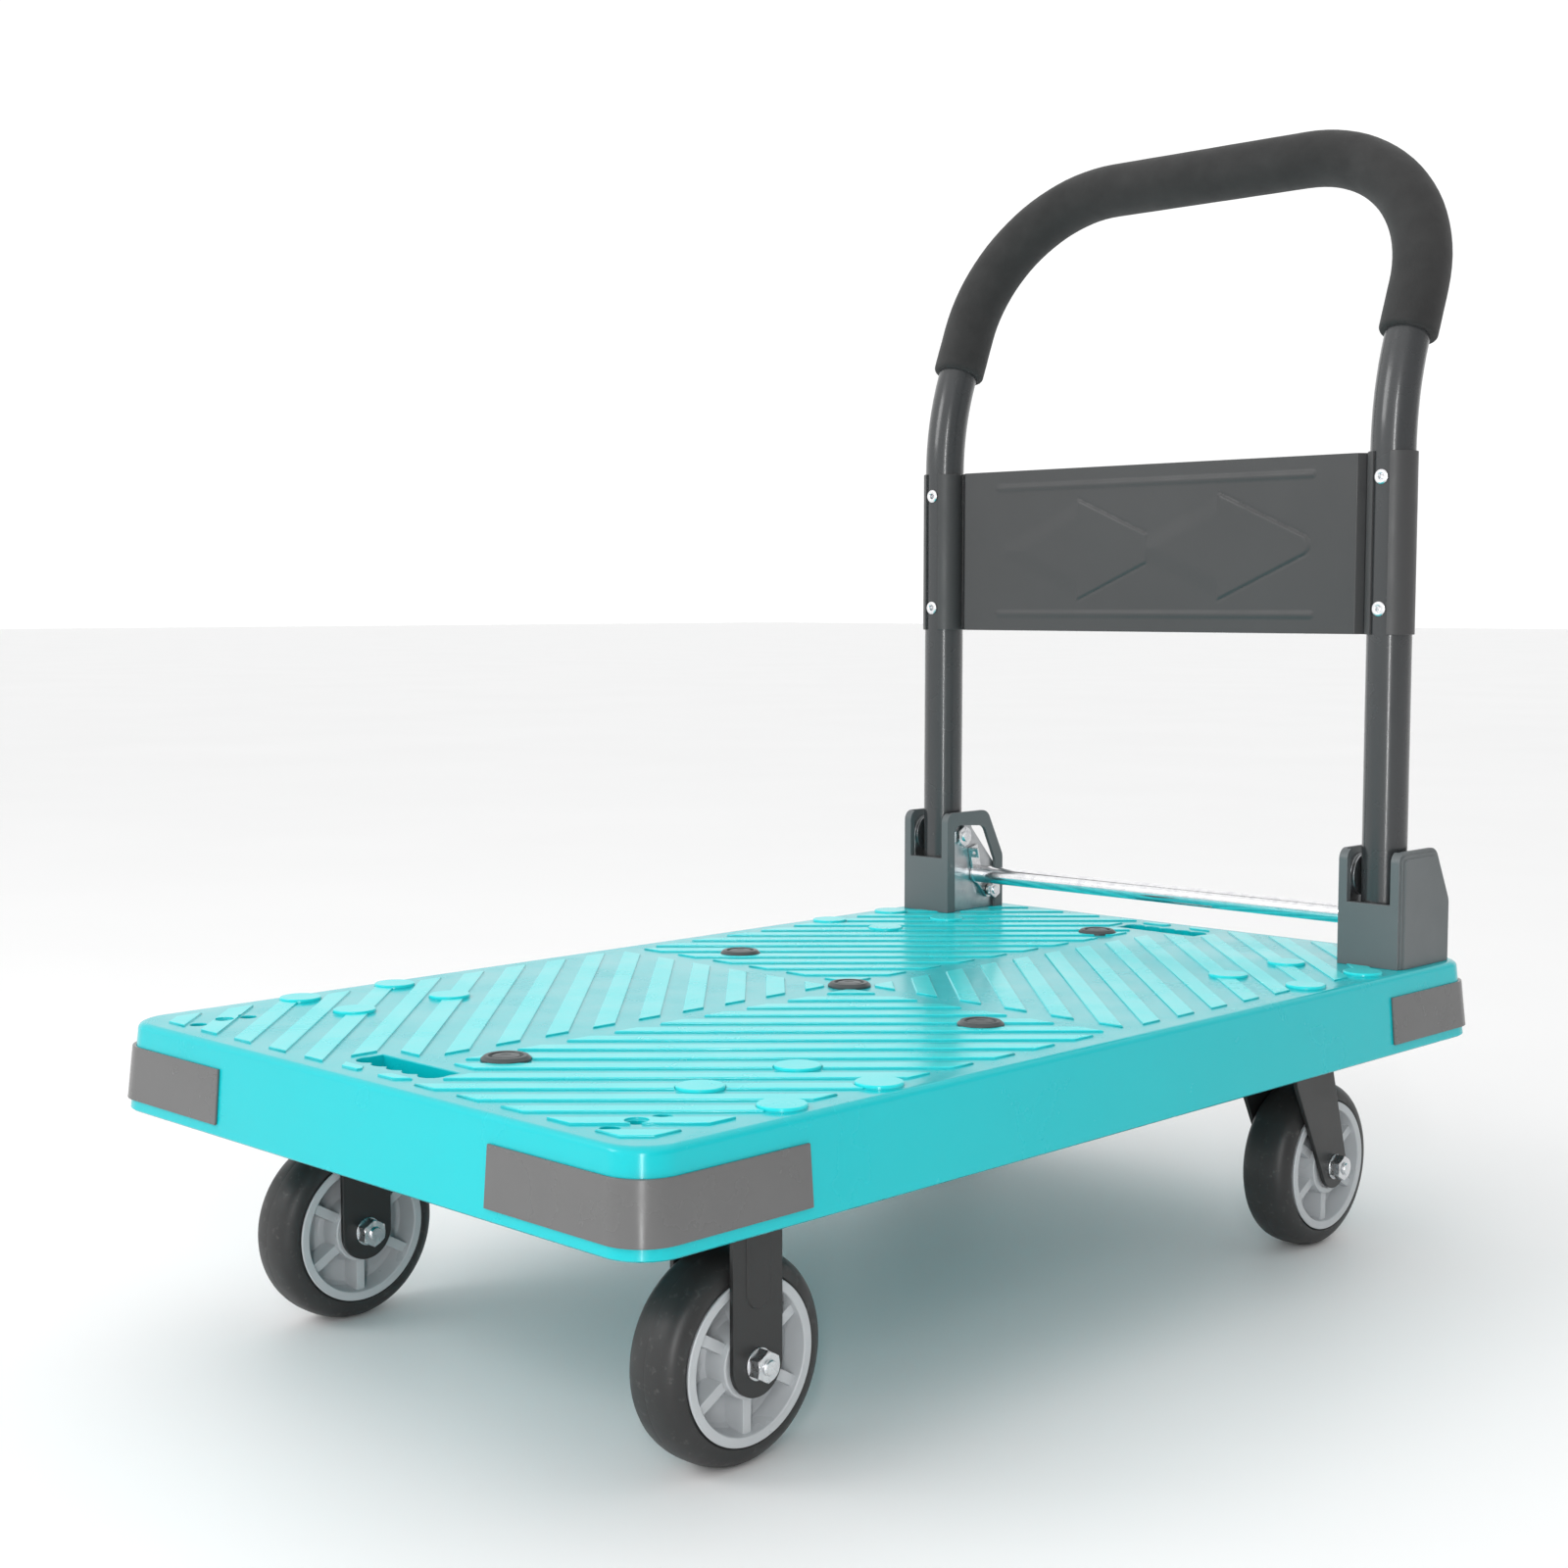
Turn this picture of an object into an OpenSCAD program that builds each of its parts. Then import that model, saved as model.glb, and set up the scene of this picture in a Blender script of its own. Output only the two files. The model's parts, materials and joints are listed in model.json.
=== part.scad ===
// Flatbed platform truck: a moulded deck on two fixed and two swivel casters, with a
// folding push handle. X runs across the deck, +Y points to the handle end, +Z is up.
// The origin is on the floor, at the middle of the truck's outer box.

/* [Deck] */
// Length of the deck along its lower edge
deck_l = 900; // [760:10:1100]
// Width of the deck across its lower edge
deck_w = 540; // [480:10:700]
// Height of the deck from its lower edge to its top face
deck_h = 60; // [52:1:80]
// Height of the deck's lower edge above the floor
deck_z = 160; // [155:1:200]
// How far each side wall leans in over its height
side_draft = 4.4; // [2:0.1:8]
// Radius of the deck's corners seen from above
corner_r = 27; // [20:1:50]
// Rounding of the deck's top edge
edge_r = 4.5; // [2:0.5:6]
// Thickness of the deck's outer wall
wall_t = 6; // [4:0.5:9]
// Thickness of the deck's top skin
skin_t = 8; // [6:1:12]
// Thickness of the stiffening ribs under the deck
under_rib_t = 4; // [3:0.5:7]
// Distance from the lower edge up to the caster seats
seat_h = 8; // [6:1:12]

/* [Tread pattern] */
// Distance from one raised bar to the next, square to the bars
bar_pitch = 29; // [22:1:40]
// Width of a raised bar
bar_w = 14; // [8:1:20]
// Height of a raised bar
bar_h = 1.2; // [0.6:0.1:2]
// Half width of the plain cross between the four fields
cross_half = 11; // [6:1:20]
// Plain margin between the bars and the deck's lower edge line
field_margin = 25; // [20:1:40]
// Radius of a raised round pad
pad_r = 15.3; // [10:0.1:18]
// Height of a raised round pad
pad_h = 2.5; // [1.5:0.1:4]
// Radius of a tie-down hole
tie_r = 5.5; // [4:0.1:7]
// Distance between neighbouring tie-down holes
tie_pitch = 19.4; // [16:0.1:25]

/* [Hand slots] */
// Length of a hand slot
slot_l = 80; // [70:1:110]
// Width of a hand slot without its finger scallops
slot_w = 20; // [16:1:26]
// Distance from the deck's end to the middle of a hand slot
slot_from_end = 50; // [45:1:70]

/* [Deck plugs] */
// Radius of a plug's flange
plug_r = 16; // [12:0.5:20]
// Height of a plug's flange
plug_h = 3.6; // [2:0.1:5]
// Radius of a plug's stem
plug_stem_r = 6; // [4:0.5:8]
// Length of a plug's stem below the deck's top face
plug_stem_l = 16; // [10:1:20]

/* [Corner bumpers] */
// How far a bumper stands out from the deck
bumper_t = 2; // [1:0.5:5]
// Height of a bumper
bumper_h = 36; // [24:1:40]
// Distance from the deck's lower edge up to a bumper
bumper_z = 8; // [5:0.5:12]
// Reach of a bumper along each side from the corner
bumper_reach = 129.5; // [90:0.5:160]

/* [Handle] */
// Outer radius of the handle tube
tube_r = 17.5; // [14:0.5:20]
// Wall thickness of the handle tube
tube_t = 1.8; // [1.2:0.1:3]
// Distance from the deck's side edge line in to a handle leg
leg_inset = 41.5; // [38:0.5:60]
// Distance from the deck's rear end in to the handle legs
leg_from_end = 76.2; // [70:0.1:100]
// Height of the straight part of the legs above the deck's top face
leg_straight = 402; // [360:1:460]
// Radius of the backward bend above the back panel
neck_r = 240; // [160:5:400]
// Angle of the backward bend
neck_angle = 21.5; // [8:0.5:28]
// Length of the leaning straight between that bend and the top corners
lean_l = 45.5; // [20:0.5:120]
// Radius of the handle's two top corners
top_r = 130; // [80:1:160]
// Outer radius of the foam grip
grip_r = 23; // [20:0.5:28]
// Distance from the backward bend up to the foam grip
grip_start = 4; // [2:1:20]

/* [Back panel] */
// Distance from the deck's top face up to the back panel
panel_z = 260; // [200:1:280]
// Height of the back panel
panel_h = 142; // [110:1:160]
// Sheet thickness of the back panel
sheet_t = 1.5; // [1:0.1:2.5]
// Height of the pressed ribs and field on the back panel
press_h = 0.9; // [0.5:0.1:1.2]
// Radius of a rivet's head
rivet_r = 5.8; // [4:0.1:7]
// Radius of a rivet's shank
rivet_shank_r = 2.5; // [2:0.1:3.5]
// Distance between the two rivets on a leg
rivet_pitch = 102; // [70:1:110]

/* [Hinge] */
// Height of the fold axis above the deck's top face
pivot_h = 69.5; // [66:0.5:80]
// Radius of the pivot bolt
pivot_r = 5; // [4:0.5:6]
// Length of a leg below the fold axis
leg_tail = 48; // [40:1:55]
// Thickness of the steel hinge bracket
bracket_t = 3; // [2.5:0.5:4]
// Radius of the lock plate beside the leg
lock_plate_r = 16.5; // [12:0.5:18]
// Thickness of the lock plate
lock_plate_t = 1.5; // [1:0.1:1.6]
// Height of the hinge cover above the deck's top face
cover_h = 92; // [88:1:110]
// Height of the hinge cover's front wall
cover_front_h = 50; // [40:0.5:50]
// Length of the hinge cover along the deck
cover_l = 80; // [76:1:95]
// Wall thickness of the hinge cover
cover_t = 3.5; // [2.5:0.1:4]

/* [Release bar] */
// Radius of the foot bar
rod_r = 8; // [6:0.5:9]
// Height of the foot bar above the deck's top face
rod_h = 33; // [28:1:40]
// Distance of the foot bar behind the handle legs
rod_back = 21; // [19:0.5:26]
// Thickness of a release arm
arm_t = 2.6; // [2:0.1:3]

/* [Wheels] */
// Radius of a wheel over its tyre
wheel_r = 65; // [55:1:68]
// Width of a tyre
tyre_w = 41; // [34:0.5:44]
// Outer radius of the wheel centre, where the tyre sits
rim_r = 50.5; // [44:0.5:54]
// Width of a wheel centre
rim_w = 43.6; // [38:0.1:45]
// Radius of the wheel hub
hub_r = 22; // [17:0.5:26]
// Outer radius of the axle sleeve
sleeve_r = 8; // [7:0.5:9]
// Radius of the axle bolt
axle_r = 5; // [4:0.5:6]
// Number of flat spokes on each face of a wheel
spokes = 6; // [4:1:8]

/* [Casters] */
// Distance from the deck's side edge line in to the wheels
wheel_inset = 75.2; // [68:0.1:100]
// Distance from the deck's front end to the front axle
front_axle_from_end = 134.4; // [120:0.1:160]
// Distance from the deck's rear end to the swivel axis
swivel_from_end = 165; // [150:1:200]
// Distance that the rear axle trails behind its swivel axis
trail = 34.6; // [25:0.1:40]
// Sheet thickness of the forks and top plates
fork_t = 3.6; // [3:0.1:5]
// Free width inside a fork
fork_gap = 47; // [46:0.1:50]
// Half length of a caster's top plate along the deck
plate_half_l = 52; // [46:1:60]
// Half width of a caster's top plate
plate_half_w = 42; // [38:1:48]
// Radius of a caster bolt
caster_bolt_r = 4; // [3:0.5:5]

/* [Hidden] */
$fn = 64;
slip = 0.05;           // running clearance of a shaft in its bore
gap = 0.3;             // clearance between faces that move past each other
through = 1;           // how far a cut runs past the face it opens
join = 0.5;            // how far a piece sinks into the one it is one with
thin = 0.01;           // thickness of a hull's level
half_l = deck_l / 2;
half_w = deck_w / 2;
top_z = deck_z + deck_h;
seat_z = deck_z + seat_h;

// Deck layout
edge_break = 1.2;
edge_fn = 48;
field_x = half_w - field_margin;
field_y = half_l - field_margin + 5;
bar_first = 26;
bar_count = ceil((field_x + field_y) / sqrt(2) / bar_pitch);
pad_chamfer = 0.5;
pad_inset_x = [26.5, 94];
pad_inset_y = [132, 214];
tie_inset = 58;
tie_from_end = 50;
tie_frame = 1.5;
slot_frame = 8;
scallops = 5;
scallop_r = 9;
scallop_out = 4;
plug_side = 167.5 / 270 * half_w;
plug_step = 50;
plug_end = half_l - 103;
plug_end_side = 30;
plug_points = [[0, 0], [plug_side, -plug_step], [-plug_side, plug_step],
    [plug_end_side, -plug_end], [-plug_end_side, plug_end]];
cell_l = 90;           // length aimed at for a cell of the under-deck grid
cell_w = 88;           // width aimed at for a cell
boss_wall = 4;
seat_margin = 3;       // room round a caster's top plate in its seat
seat_wall = 4;         // solid plastic round that seat
bolt_depth = 26;       // depth of a caster bolt's hole above the seat

// Handle layout
leg_x = half_w - leg_inset;
leg_y = half_l - leg_from_end;
pivot_z = top_z + pivot_h;
tail_z = pivot_z - leg_tail;
neck_z = top_z + leg_straight;
neck_top_y = leg_y + neck_r * (1 - cos(neck_angle));
neck_top_z = neck_z + neck_r * sin(neck_angle);
lean_top = lean_l + top_r;
handle_back = neck_top_y + lean_top * sin(neck_angle) + grip_r;
front_reach = half_l - side_draft * bumper_z / (deck_h - edge_r) + bumper_t;
mid_y = (handle_back - front_reach) / 2;
panel_mid_z = top_z + panel_z + panel_h / 2;
rivet_sink = 0.4;      // depth of the flat under a rivet's head
rivet_head_h = 1.6;
rivet_tail_h = 1.2;
rivet_wall = 0.7;
rivet_bore = 6;        // depth of the hole in a rivet

// Back panel's pressed shapes
panel_front = 5;
fold_back = 4;
fold_run = 8.4;
flat_half = leg_x - tube_r - 12;
press_rib_w = 5.4;
press_rib_half = flat_half - 20;
press_rib_up = panel_h / 2 - 15;
field_waist = 12;
field_peak_x = 72;
field_peak = 43;
field_tip_x = 150;
field_tip_r = 8;
field_turn = 66;       // angle that half of a tip turns through

cap_h = 2;             // how far a tube cap shows below the tube
cap_stem_h = 12;
cap_edge = 0.6;
wrap_r = tube_r + 0.2; // inner radius of the panel's wrap round a leg
// Half angle of the wrap's gap in front, where the rivets are
wrap_open = max(22, atan((rivet_r + gap) / (tube_r - rivet_sink)));

// Hinge layout, measured across from the leg axis
lock_in = tube_r + gap;
ear_in = lock_in + lock_plate_t + gap;
ear_out = ear_in + bracket_t;
cover_in = ear_out + gap;
cover_out = cover_in + cover_t;
outer_bead = 2.6;      // how far the cover's outer face stands out in two steps
bead_step = 3;         // how much smaller each step's outline is
lip_in = tube_r + 1.3; // half width of the slot in the cover
cover_front = leg_y - 23.8;
cover_back = cover_front + cover_l;
cover_front_r = 9;
cover_top_r = 12;
cover_back_r = 14;
cover_top_y = 50;      // where the cover's flat top ends, from its front
cover_back_z = 45;     // where its back wall ends, above the deck
window_edge = 11;      // plastic left round the inner window
ear_reach = 16.8;      // from the leg's axis to the ears' front edge
ear_front = leg_y - ear_reach;
room_front = max(tube_r, ear_reach, lock_plate_r) + gap;   // room inside the cover
ear_back = cover_back - 2;
ear_h = 34;            // height of the bracket's ears behind the leg
ear_r = 16.8;          // radius of an ear round the pivot
bracket_bolt_y = [leg_y - 8, leg_y + 44];
bracket_bolt_r = 4;
bracket_head_r = [7.5, 5];
bracket_head_h = 4;
nut_af = 13;
nut_h = 6.5;
pivot_nut_af = 17;
pivot_nut_h = 5;
pivot_head_r = 8.4;
pivot_head_h = 3;
thread_out = 2;        // how far a bolt's end shows past its nut

// Release bar layout
stud_y = leg_y + 37;
stud_z = top_z + 17;
stud_r = 4;
stud_rim = 3.5;
stud_head_r = 7;
stud_head_h = 0.9;
stud_nut_h = 3.4;
rod_y = leg_y + rod_back;
rod_z = top_z + rod_h;
rod_wall = 1.5;
arm_in = ear_out + gap;
arm_out = arm_in + arm_t;
arm_w = 14;
arm_reach = leg_x - arm_in;
stud_end = arm_out + 9;
finger_turn = 104;     // direction of the arm's finger, from +Y
finger_l = 27;
finger_w = 12;
tab = [9.5, 2.4, 9];   // bent tab on the finger
tab_hole_r = 1.6;
spring_wire = 0.7;
spring_turns = 3;
spring_pitch = 1.35;

// Caster layout
wheel_x = half_w - wheel_inset;
front_y = -(half_l - front_axle_from_end);
swivel_y = half_l - swivel_from_end;
rear_y = swivel_y + trail;
axle_z = wheel_r;
plate_z = seat_z - fork_t;
plate_margin = 11;     // distance from a top plate's edges in to its bolts
bolt_at = [plate_half_w - plate_margin, plate_half_l - plate_margin];
caster_nut_h = 5.3;
fork_half = fork_gap / 2;
fork_out = fork_half + fork_t;
front_leg_half = 20;
front_leg_flare = 12;
front_flare_h = 22;
bead_r = 9;            // pressed bead down each front leg
bead_from_axle = 42;
bead_h = 1.2;
swivel_leg_r = 17;
swivel_half = 26;      // half length of the swivel fork where it meets its crown
washer_t = 1;
washer_r = 9.8;
axle_nut_af = 17;
axle_nut_h = 8;
axle_head_h = 6.5;
ball_r = 3.2;
ball_ring_r = 24;
ball_count = 16;
race_h = 1;
race_wall = 3;
crown_z = plate_z - 2 * ball_r - 2 * gap - race_h;
crown_r = 33;
king_r = 6;
king_nut_af = 19;
king_nut_h = 6;

// Wheel layout
rim_lip = 6.5;         // width of the bright ring round a wheel centre
rim_break = 0.6;
rim_groove = 1.6;      // how deep the tyre sits in the rim
web_half = 6;
web_t = 6;
spoke_w = 7;
spoke_inset = 4;       // how far a spoke lies below the ring's face
hub_overlap = 2;

// ---------- shared shapes ----------
module centred() translate([0, -mid_y, 0]) children();

// Builds right-hand shapes on the left for s = -1, and rear shapes at the front
module on_side(s) mirror([s < 0 ? 1 : 0, 0, 0]) children();
module at_end(s) mirror([0, s < 0 ? 1 : 0, 0]) children();
module each_side() for (s = [-1, 1]) on_side(s) children();

module ring(r_out, r_in) difference() {
    circle(r = r_out);
    circle(r = r_in);
}
// A rod along X between two x values
module x_rod(r, x0, x1) translate([x0, 0, 0]) rotate([0, 90, 0]) cylinder(r = r, h = x1 - x0);
module y_rod(r, y0, y1) translate([0, y0, 0]) rotate([-90, 0, 0]) cylinder(r = r, h = y1 - y0);
// A hexagon along X between two x values
module x_hex(af, x0, x1) translate([x0, 0, 0]) rotate([0, 90, 0])
    cylinder(r = af / 2 / cos(30), h = x1 - x0, $fn = 6);
// A plate standing in the YZ plane between two x values
module x_plate(x0, x1) translate([x0, 0, 0]) rotate([90, 0, 90]) linear_extrude(x1 - x0) children();
module z_hex(af, h) cylinder(r = af / 2 / cos(30), h = h, $fn = 6);

module tube_wall(r_out, r_in, h) linear_extrude(h) ring(r_out, r_in);
module centre_square(half) square([2 * half[0], 2 * half[1]], center = true);

module rounded_rect(hx, hy, r) {
    square([2 * hx, 2 * (hy - r)], center = true);
    square([2 * (hx - r), 2 * hy], center = true);
    for (sx = [-1, 1], sy = [-1, 1]) translate([sx * (hx - r), sy * (hy - r)]) circle(r = r);
}

// ---------- deck ----------
function wall_inset(z) = side_draft * z / (deck_h - edge_r);
function edge_inset(a) = side_draft + edge_r * (1 - cos(a));
function edge_height(a) = deck_h - edge_r * (1 - sin(a));
edge_steps = [for (a = [0:18:90]) [edge_height(a), edge_inset(a)]];

// One level of the deck's outline: z above the lower edge, and inset from it
module deck_level(z, inset) translate([0, 0, deck_z + z]) linear_extrude(thin)
    for (sx = [-1, 1], sy = [-1, 1])
        translate([sx * (half_w - inset - corner_r), sy * (half_l - inset - corner_r)])
            circle(r = corner_r, $fn = edge_fn);

module deck_block() hull() {
    deck_level(0, edge_break);
    deck_level(edge_break, 0);
    for (p = edge_steps) deck_level(p[0] - thin, p[1]);
}

module slot_shape(grow) {
    translate([-slot_l / 2 - grow, -slot_w / 2 - grow]) square([slot_l + 2 * grow, slot_w + 2 * grow]);
    for (i = [0:scallops - 1])
        translate([slot_l / scallops * (i + 0.5) - slot_l / 2, slot_w / 2 - scallop_r + scallop_out])
            circle(r = scallop_r + grow);
}
module slots(grow) for (s = [-1, 1]) at_end(s) translate([0, half_l - slot_from_end]) slot_shape(grow);

module tie_points() for (sx = [-1, 1], i = [-1:1])
    translate([sx * (half_w - tie_inset), -(half_l - tie_from_end) + i * tie_pitch]) children();

module pad_points() for (sx = [-1, 1], sy = [-1, 1], ix = pad_inset_x, iy = pad_inset_y)
    translate([sx * (half_w - ix), sy * (half_l - iy)]) children();

module caster_points() {
    for (s = [-1, 1]) translate([s * wheel_x, front_y]) children();
    for (s = [-1, 1]) translate([s * wheel_x, swivel_y]) children();
}

module bolt_square() for (sx = [-1, 1], sy = [-1, 1])
    translate([sx * bolt_at[0], sy * bolt_at[1]]) children();

module cover_points() for (s = [-1, 1]) translate([s * leg_x, (cover_front + cover_back) / 2]) children();

module tread_field() difference() {
    centre_square([field_x, field_y]);
    centre_square([cross_half, half_l]);
    centre_square([half_w, cross_half]);
    for (s = [-1, 1]) at_end(s) translate([0, half_l - slot_from_end])
        centre_square([slot_l / 2 + slot_frame, slot_w / 2 + slot_frame + scallop_out]);
    for (p = plug_points) translate(p) circle(r = plug_r + gap);
    tie_points() circle(r = tie_r + tie_frame);
    cover_points() centre_square([cover_out + outer_bead + 2, cover_l / 2 + 2]);
}
module tread_bars() for (qx = [0, 1], qy = [0, 1]) mirror([qx, 0]) mirror([0, qy])
    intersection() {
        square([half_w, half_l]);
        for (n = [0:bar_count])
            rotate(45) translate([bar_first + n * bar_pitch - bar_w / 2, -half_l - half_w])
                square([bar_w, 2 * (half_l + half_w)]);
    }

module under_grid() {
    nx = round(2 * half_w / cell_w);
    ny = round(2 * half_l / cell_l);
    for (i = [1:nx - 1]) translate([-half_w + 2 * half_w * i / nx - under_rib_t / 2, -half_l])
        square([under_rib_t, deck_l]);
    for (i = [1:ny - 1]) translate([-half_w, -half_l + 2 * half_l * i / ny - under_rib_t / 2])
        square([deck_w, under_rib_t]);
}
module hollows() difference() {
    rounded_rect(half_w - side_draft - wall_t, half_l - side_draft - wall_t, corner_r - wall_t);
    under_grid();
    slots(boss_wall);
    caster_points() centre_square([plate_half_w + seat_wall, plate_half_l + seat_wall]);
    cover_points() centre_square([cover_out, cover_l / 2]);
    tie_points() circle(r = tie_r + boss_wall);
    for (p = plug_points) translate(p) circle(r = plug_stem_r + boss_wall);
}

module raised_pads() translate([0, 0, top_z - join]) pad_points() {
    cylinder(r = pad_r, h = pad_h);
    translate([0, 0, pad_h]) cylinder(r1 = pad_r, r2 = pad_r - pad_chamfer, h = pad_chamfer);
}
module deck() color([0.20, 0.80, 0.82]) centred() difference() {
    union() {
        deck_block();
        translate([0, 0, top_z - join]) linear_extrude(bar_h + join) intersection() {
            tread_field();
            tread_bars();
        }
        raised_pads();
    }
    translate([0, 0, deck_z - through]) {
        linear_extrude(deck_h - skin_t + through) hollows();
        linear_extrude(deck_h + bar_h + 2 * through) slots(0);
        tie_points() cylinder(r = tie_r, h = deck_h + bar_h + 2 * through);
        linear_extrude(seat_h + through) caster_points()
            centre_square([plate_half_w + seat_margin, plate_half_l + seat_margin]);
        for (s = [-1, 1], y = bracket_bolt_y) translate([s * leg_x, y])
            cylinder(r = bracket_bolt_r + slip, h = deck_h + 2 * through);
    }
    for (p = plug_points) translate([p[0], p[1], top_z - plug_stem_l - through])
        cylinder(r = plug_stem_r + slip, h = plug_stem_l + 2 * through);
    translate([0, 0, seat_z - through]) caster_points() bolt_square()
        cylinder(r = caster_bolt_r + slip, h = bolt_depth + through);
}

// A plug in section: stem, flange with a rounded rim, a groove and a low crown
module plug_profile() {
    square([plug_stem_r, plug_stem_l]);
    translate([0, plug_stem_l]) polygon([[0, 0], [plug_r, 0], [plug_r, plug_h - 1.6],
        [plug_r - 1, plug_h - 0.4], [plug_r - 3, plug_h], [plug_r - 4.5, plug_h],
        [plug_r - 5.5, plug_h - 1], [plug_r - 6.5, plug_h - 0.6], [plug_r - 9, plug_h - 0.2], [0, plug_h]]);
}
module deck_plugs() color([0.27, 0.29, 0.30]) centred()
    for (p = plug_points) translate([p[0], p[1], top_z - plug_stem_l]) rotate_extrude() plug_profile();

module bumper_shell() difference() {
    hull() {
        deck_level(bumper_z, wall_inset(bumper_z) - bumper_t);
        deck_level(bumper_z + bumper_h, wall_inset(bumper_z + bumper_h) - bumper_t);
    }
    deck_block();
}
module bumper(sx, sy) color([0.42, 0.42, 0.42]) centred() intersection() {
    bumper_shell();
    on_side(sx) at_end(sy) translate([half_w - bumper_reach, half_l - bumper_reach, deck_z])
        cube([2 * bumper_reach, 2 * bumper_reach, deck_h]);
}

// ---------- handle ----------
// An arc that starts at the origin along +Z and bends towards +X
module bend(r, a0, a1, r_out, r_in) translate([r, 0, 0]) rotate([90, 0, 180]) rotate([0, 0, a0])
    rotate_extrude(angle = a1 - a0) translate([r, 0]) ring(r_out, r_in);

module leaning() translate([0, neck_top_y, neck_top_z]) rotate([-neck_angle, 0, 0]) children();

// A hair-thicker sleeve over a joint between two lengths of tube, with half its length
joint_half = 1;
joint_skin = 0.03;
module joint_sleeve(r_out, r_in) translate([0, 0, -joint_half])
    tube_wall(r_out + joint_skin, r_in - joint_skin, 2 * joint_half);

// The leaning loop of the handle, from a start height above the backward bend
module loop(start, r_out, r_in) leaning() {
    each_side() translate([leg_x, 0, 0]) {
        translate([0, 0, start]) tube_wall(r_out, r_in, lean_l - start);
        translate([0, 0, lean_l]) rotate([0, 0, 180]) bend(top_r, 0, 90, r_out, r_in);
    }
    translate([-(leg_x - top_r), 0, lean_top]) rotate([90, 0, 90])
        tube_wall(r_out, r_in, 2 * (leg_x - top_r));
}

// One leg's straight part, with its pivot bore and rivet holes
module straight_leg() difference() {
    translate([leg_x, leg_y, tail_z]) tube_wall(tube_r, tube_r - tube_t, neck_z - tail_z);
    translate([leg_x, leg_y, pivot_z]) x_rod(pivot_r + slip, -tube_r - through, tube_r + through);
    rivet_heights() {
        y_rod(rivet_shank_r + slip, -tube_r - through, tube_r + through);
        y_rod(rivet_r + slip, -tube_r - through, rivet_sink - tube_r);
    }
}
module handle_tube() color([0.24, 0.25, 0.26]) centred() union() {
    each_side() {
        straight_leg();
        translate([leg_x, leg_y, neck_z]) rotate([0, 0, 90])
            bend(neck_r, 0, neck_angle, tube_r, tube_r - tube_t);
    }
    loop(0, tube_r, tube_r - tube_t);
    leaning() each_side() translate([leg_x, 0, 0]) joint_sleeve(tube_r, tube_r - tube_t);
}
module rivet_heights() for (i = [-1, 1])
    translate([leg_x, leg_y, panel_mid_z + i * rivet_pitch / 2]) children();
module rivet_places() each_side() rivet_heights() children();

module tube_end_caps() color([0.1, 0.1, 0.1]) centred() each_side()
    translate([leg_x, leg_y, tail_z - cap_h]) {
        cylinder(r = tube_r - cap_edge, h = cap_h);
        translate([0, 0, cap_h]) cylinder(r = tube_r - tube_t - slip, h = cap_stem_h);
    }

module foam_grip() color([0.12, 0.12, 0.12]) centred() loop(grip_start, grip_r, tube_r + slip);

// The panel's middle stands forward of the leg axis and folds back at its sides
module panel_outline() {
    translate([-flat_half, -panel_front]) square([2 * flat_half, sheet_t]);
    each_side() {
        polygon([[flat_half - 0.1, -panel_front], [flat_half + 0.6, -panel_front],
            [flat_half + 0.6 + fold_run, fold_back], [leg_x - wrap_r - 0.4, fold_back],
            [leg_x - wrap_r - 0.4, fold_back + sheet_t], [flat_half - 0.2 + fold_run, fold_back + sheet_t],
            [flat_half - 0.1, sheet_t - panel_front]]);
        translate([leg_x, 0]) difference() {
            ring(wrap_r + sheet_t, wrap_r);
            polygon([[0, 0], [-2 * wrap_r * tan(wrap_open), -2 * wrap_r],
                [2 * wrap_r * tan(wrap_open), -2 * wrap_r]]);
        }
    }
}
module rounded_bar(half, w) {
    square([2 * half, w], center = true);
    for (s = [-1, 1]) translate([s * half, 0]) circle(r = w / 2);
}
// Half of the pressed field: from its waist out to a peak and in to a rounded tip
function field_half(s) = concat([[0, -field_waist * s], [field_peak_x * s, -field_peak * s]],
    [for (i = [-3:3]) s * [field_tip_x + field_tip_r * cos(i * field_turn / 3),
        field_tip_r * sin(i * field_turn / 3)]],
    [[field_peak_x * s, field_peak * s]]);
module pressed_field() polygon(concat(field_half(1), field_half(-1)));

// A 2D shape raised from the panel's front face
module on_panel(h) translate([0, leg_y - panel_front + sheet_t / 2, panel_mid_z])
    rotate([90, 0, 0]) linear_extrude(sheet_t / 2 + h) children();
module back_panel() color([0.26, 0.26, 0.27]) centred() difference() {
    union() {
        translate([0, leg_y, top_z + panel_z]) linear_extrude(panel_h) panel_outline();
        on_panel(press_h) {
            for (s = [-1, 1]) translate([0, s * press_rib_up]) rounded_bar(press_rib_half, press_rib_w);
            pressed_field();
        }
    }
    rivet_places() y_rod(rivet_shank_r + slip, tube_r - through, tube_r + 2 * sheet_t + through);
}

// Hollow rivets: the front head lies in a flat on the tube, the rear one on the panel
module panel_rivets() color([0.85, 0.86, 0.87]) centred() rivet_places() difference() {
    union() {
        y_rod(rivet_shank_r, rivet_sink - tube_r - join, wrap_r + sheet_t);
        y_rod(rivet_r, rivet_sink - rivet_head_h - tube_r, rivet_sink - tube_r);
        y_rod(rivet_r - 1, wrap_r + sheet_t, wrap_r + sheet_t + rivet_tail_h);
    }
    y_rod(rivet_shank_r - rivet_wall, -tube_r - rivet_head_h, rivet_bore - tube_r);
}

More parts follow.
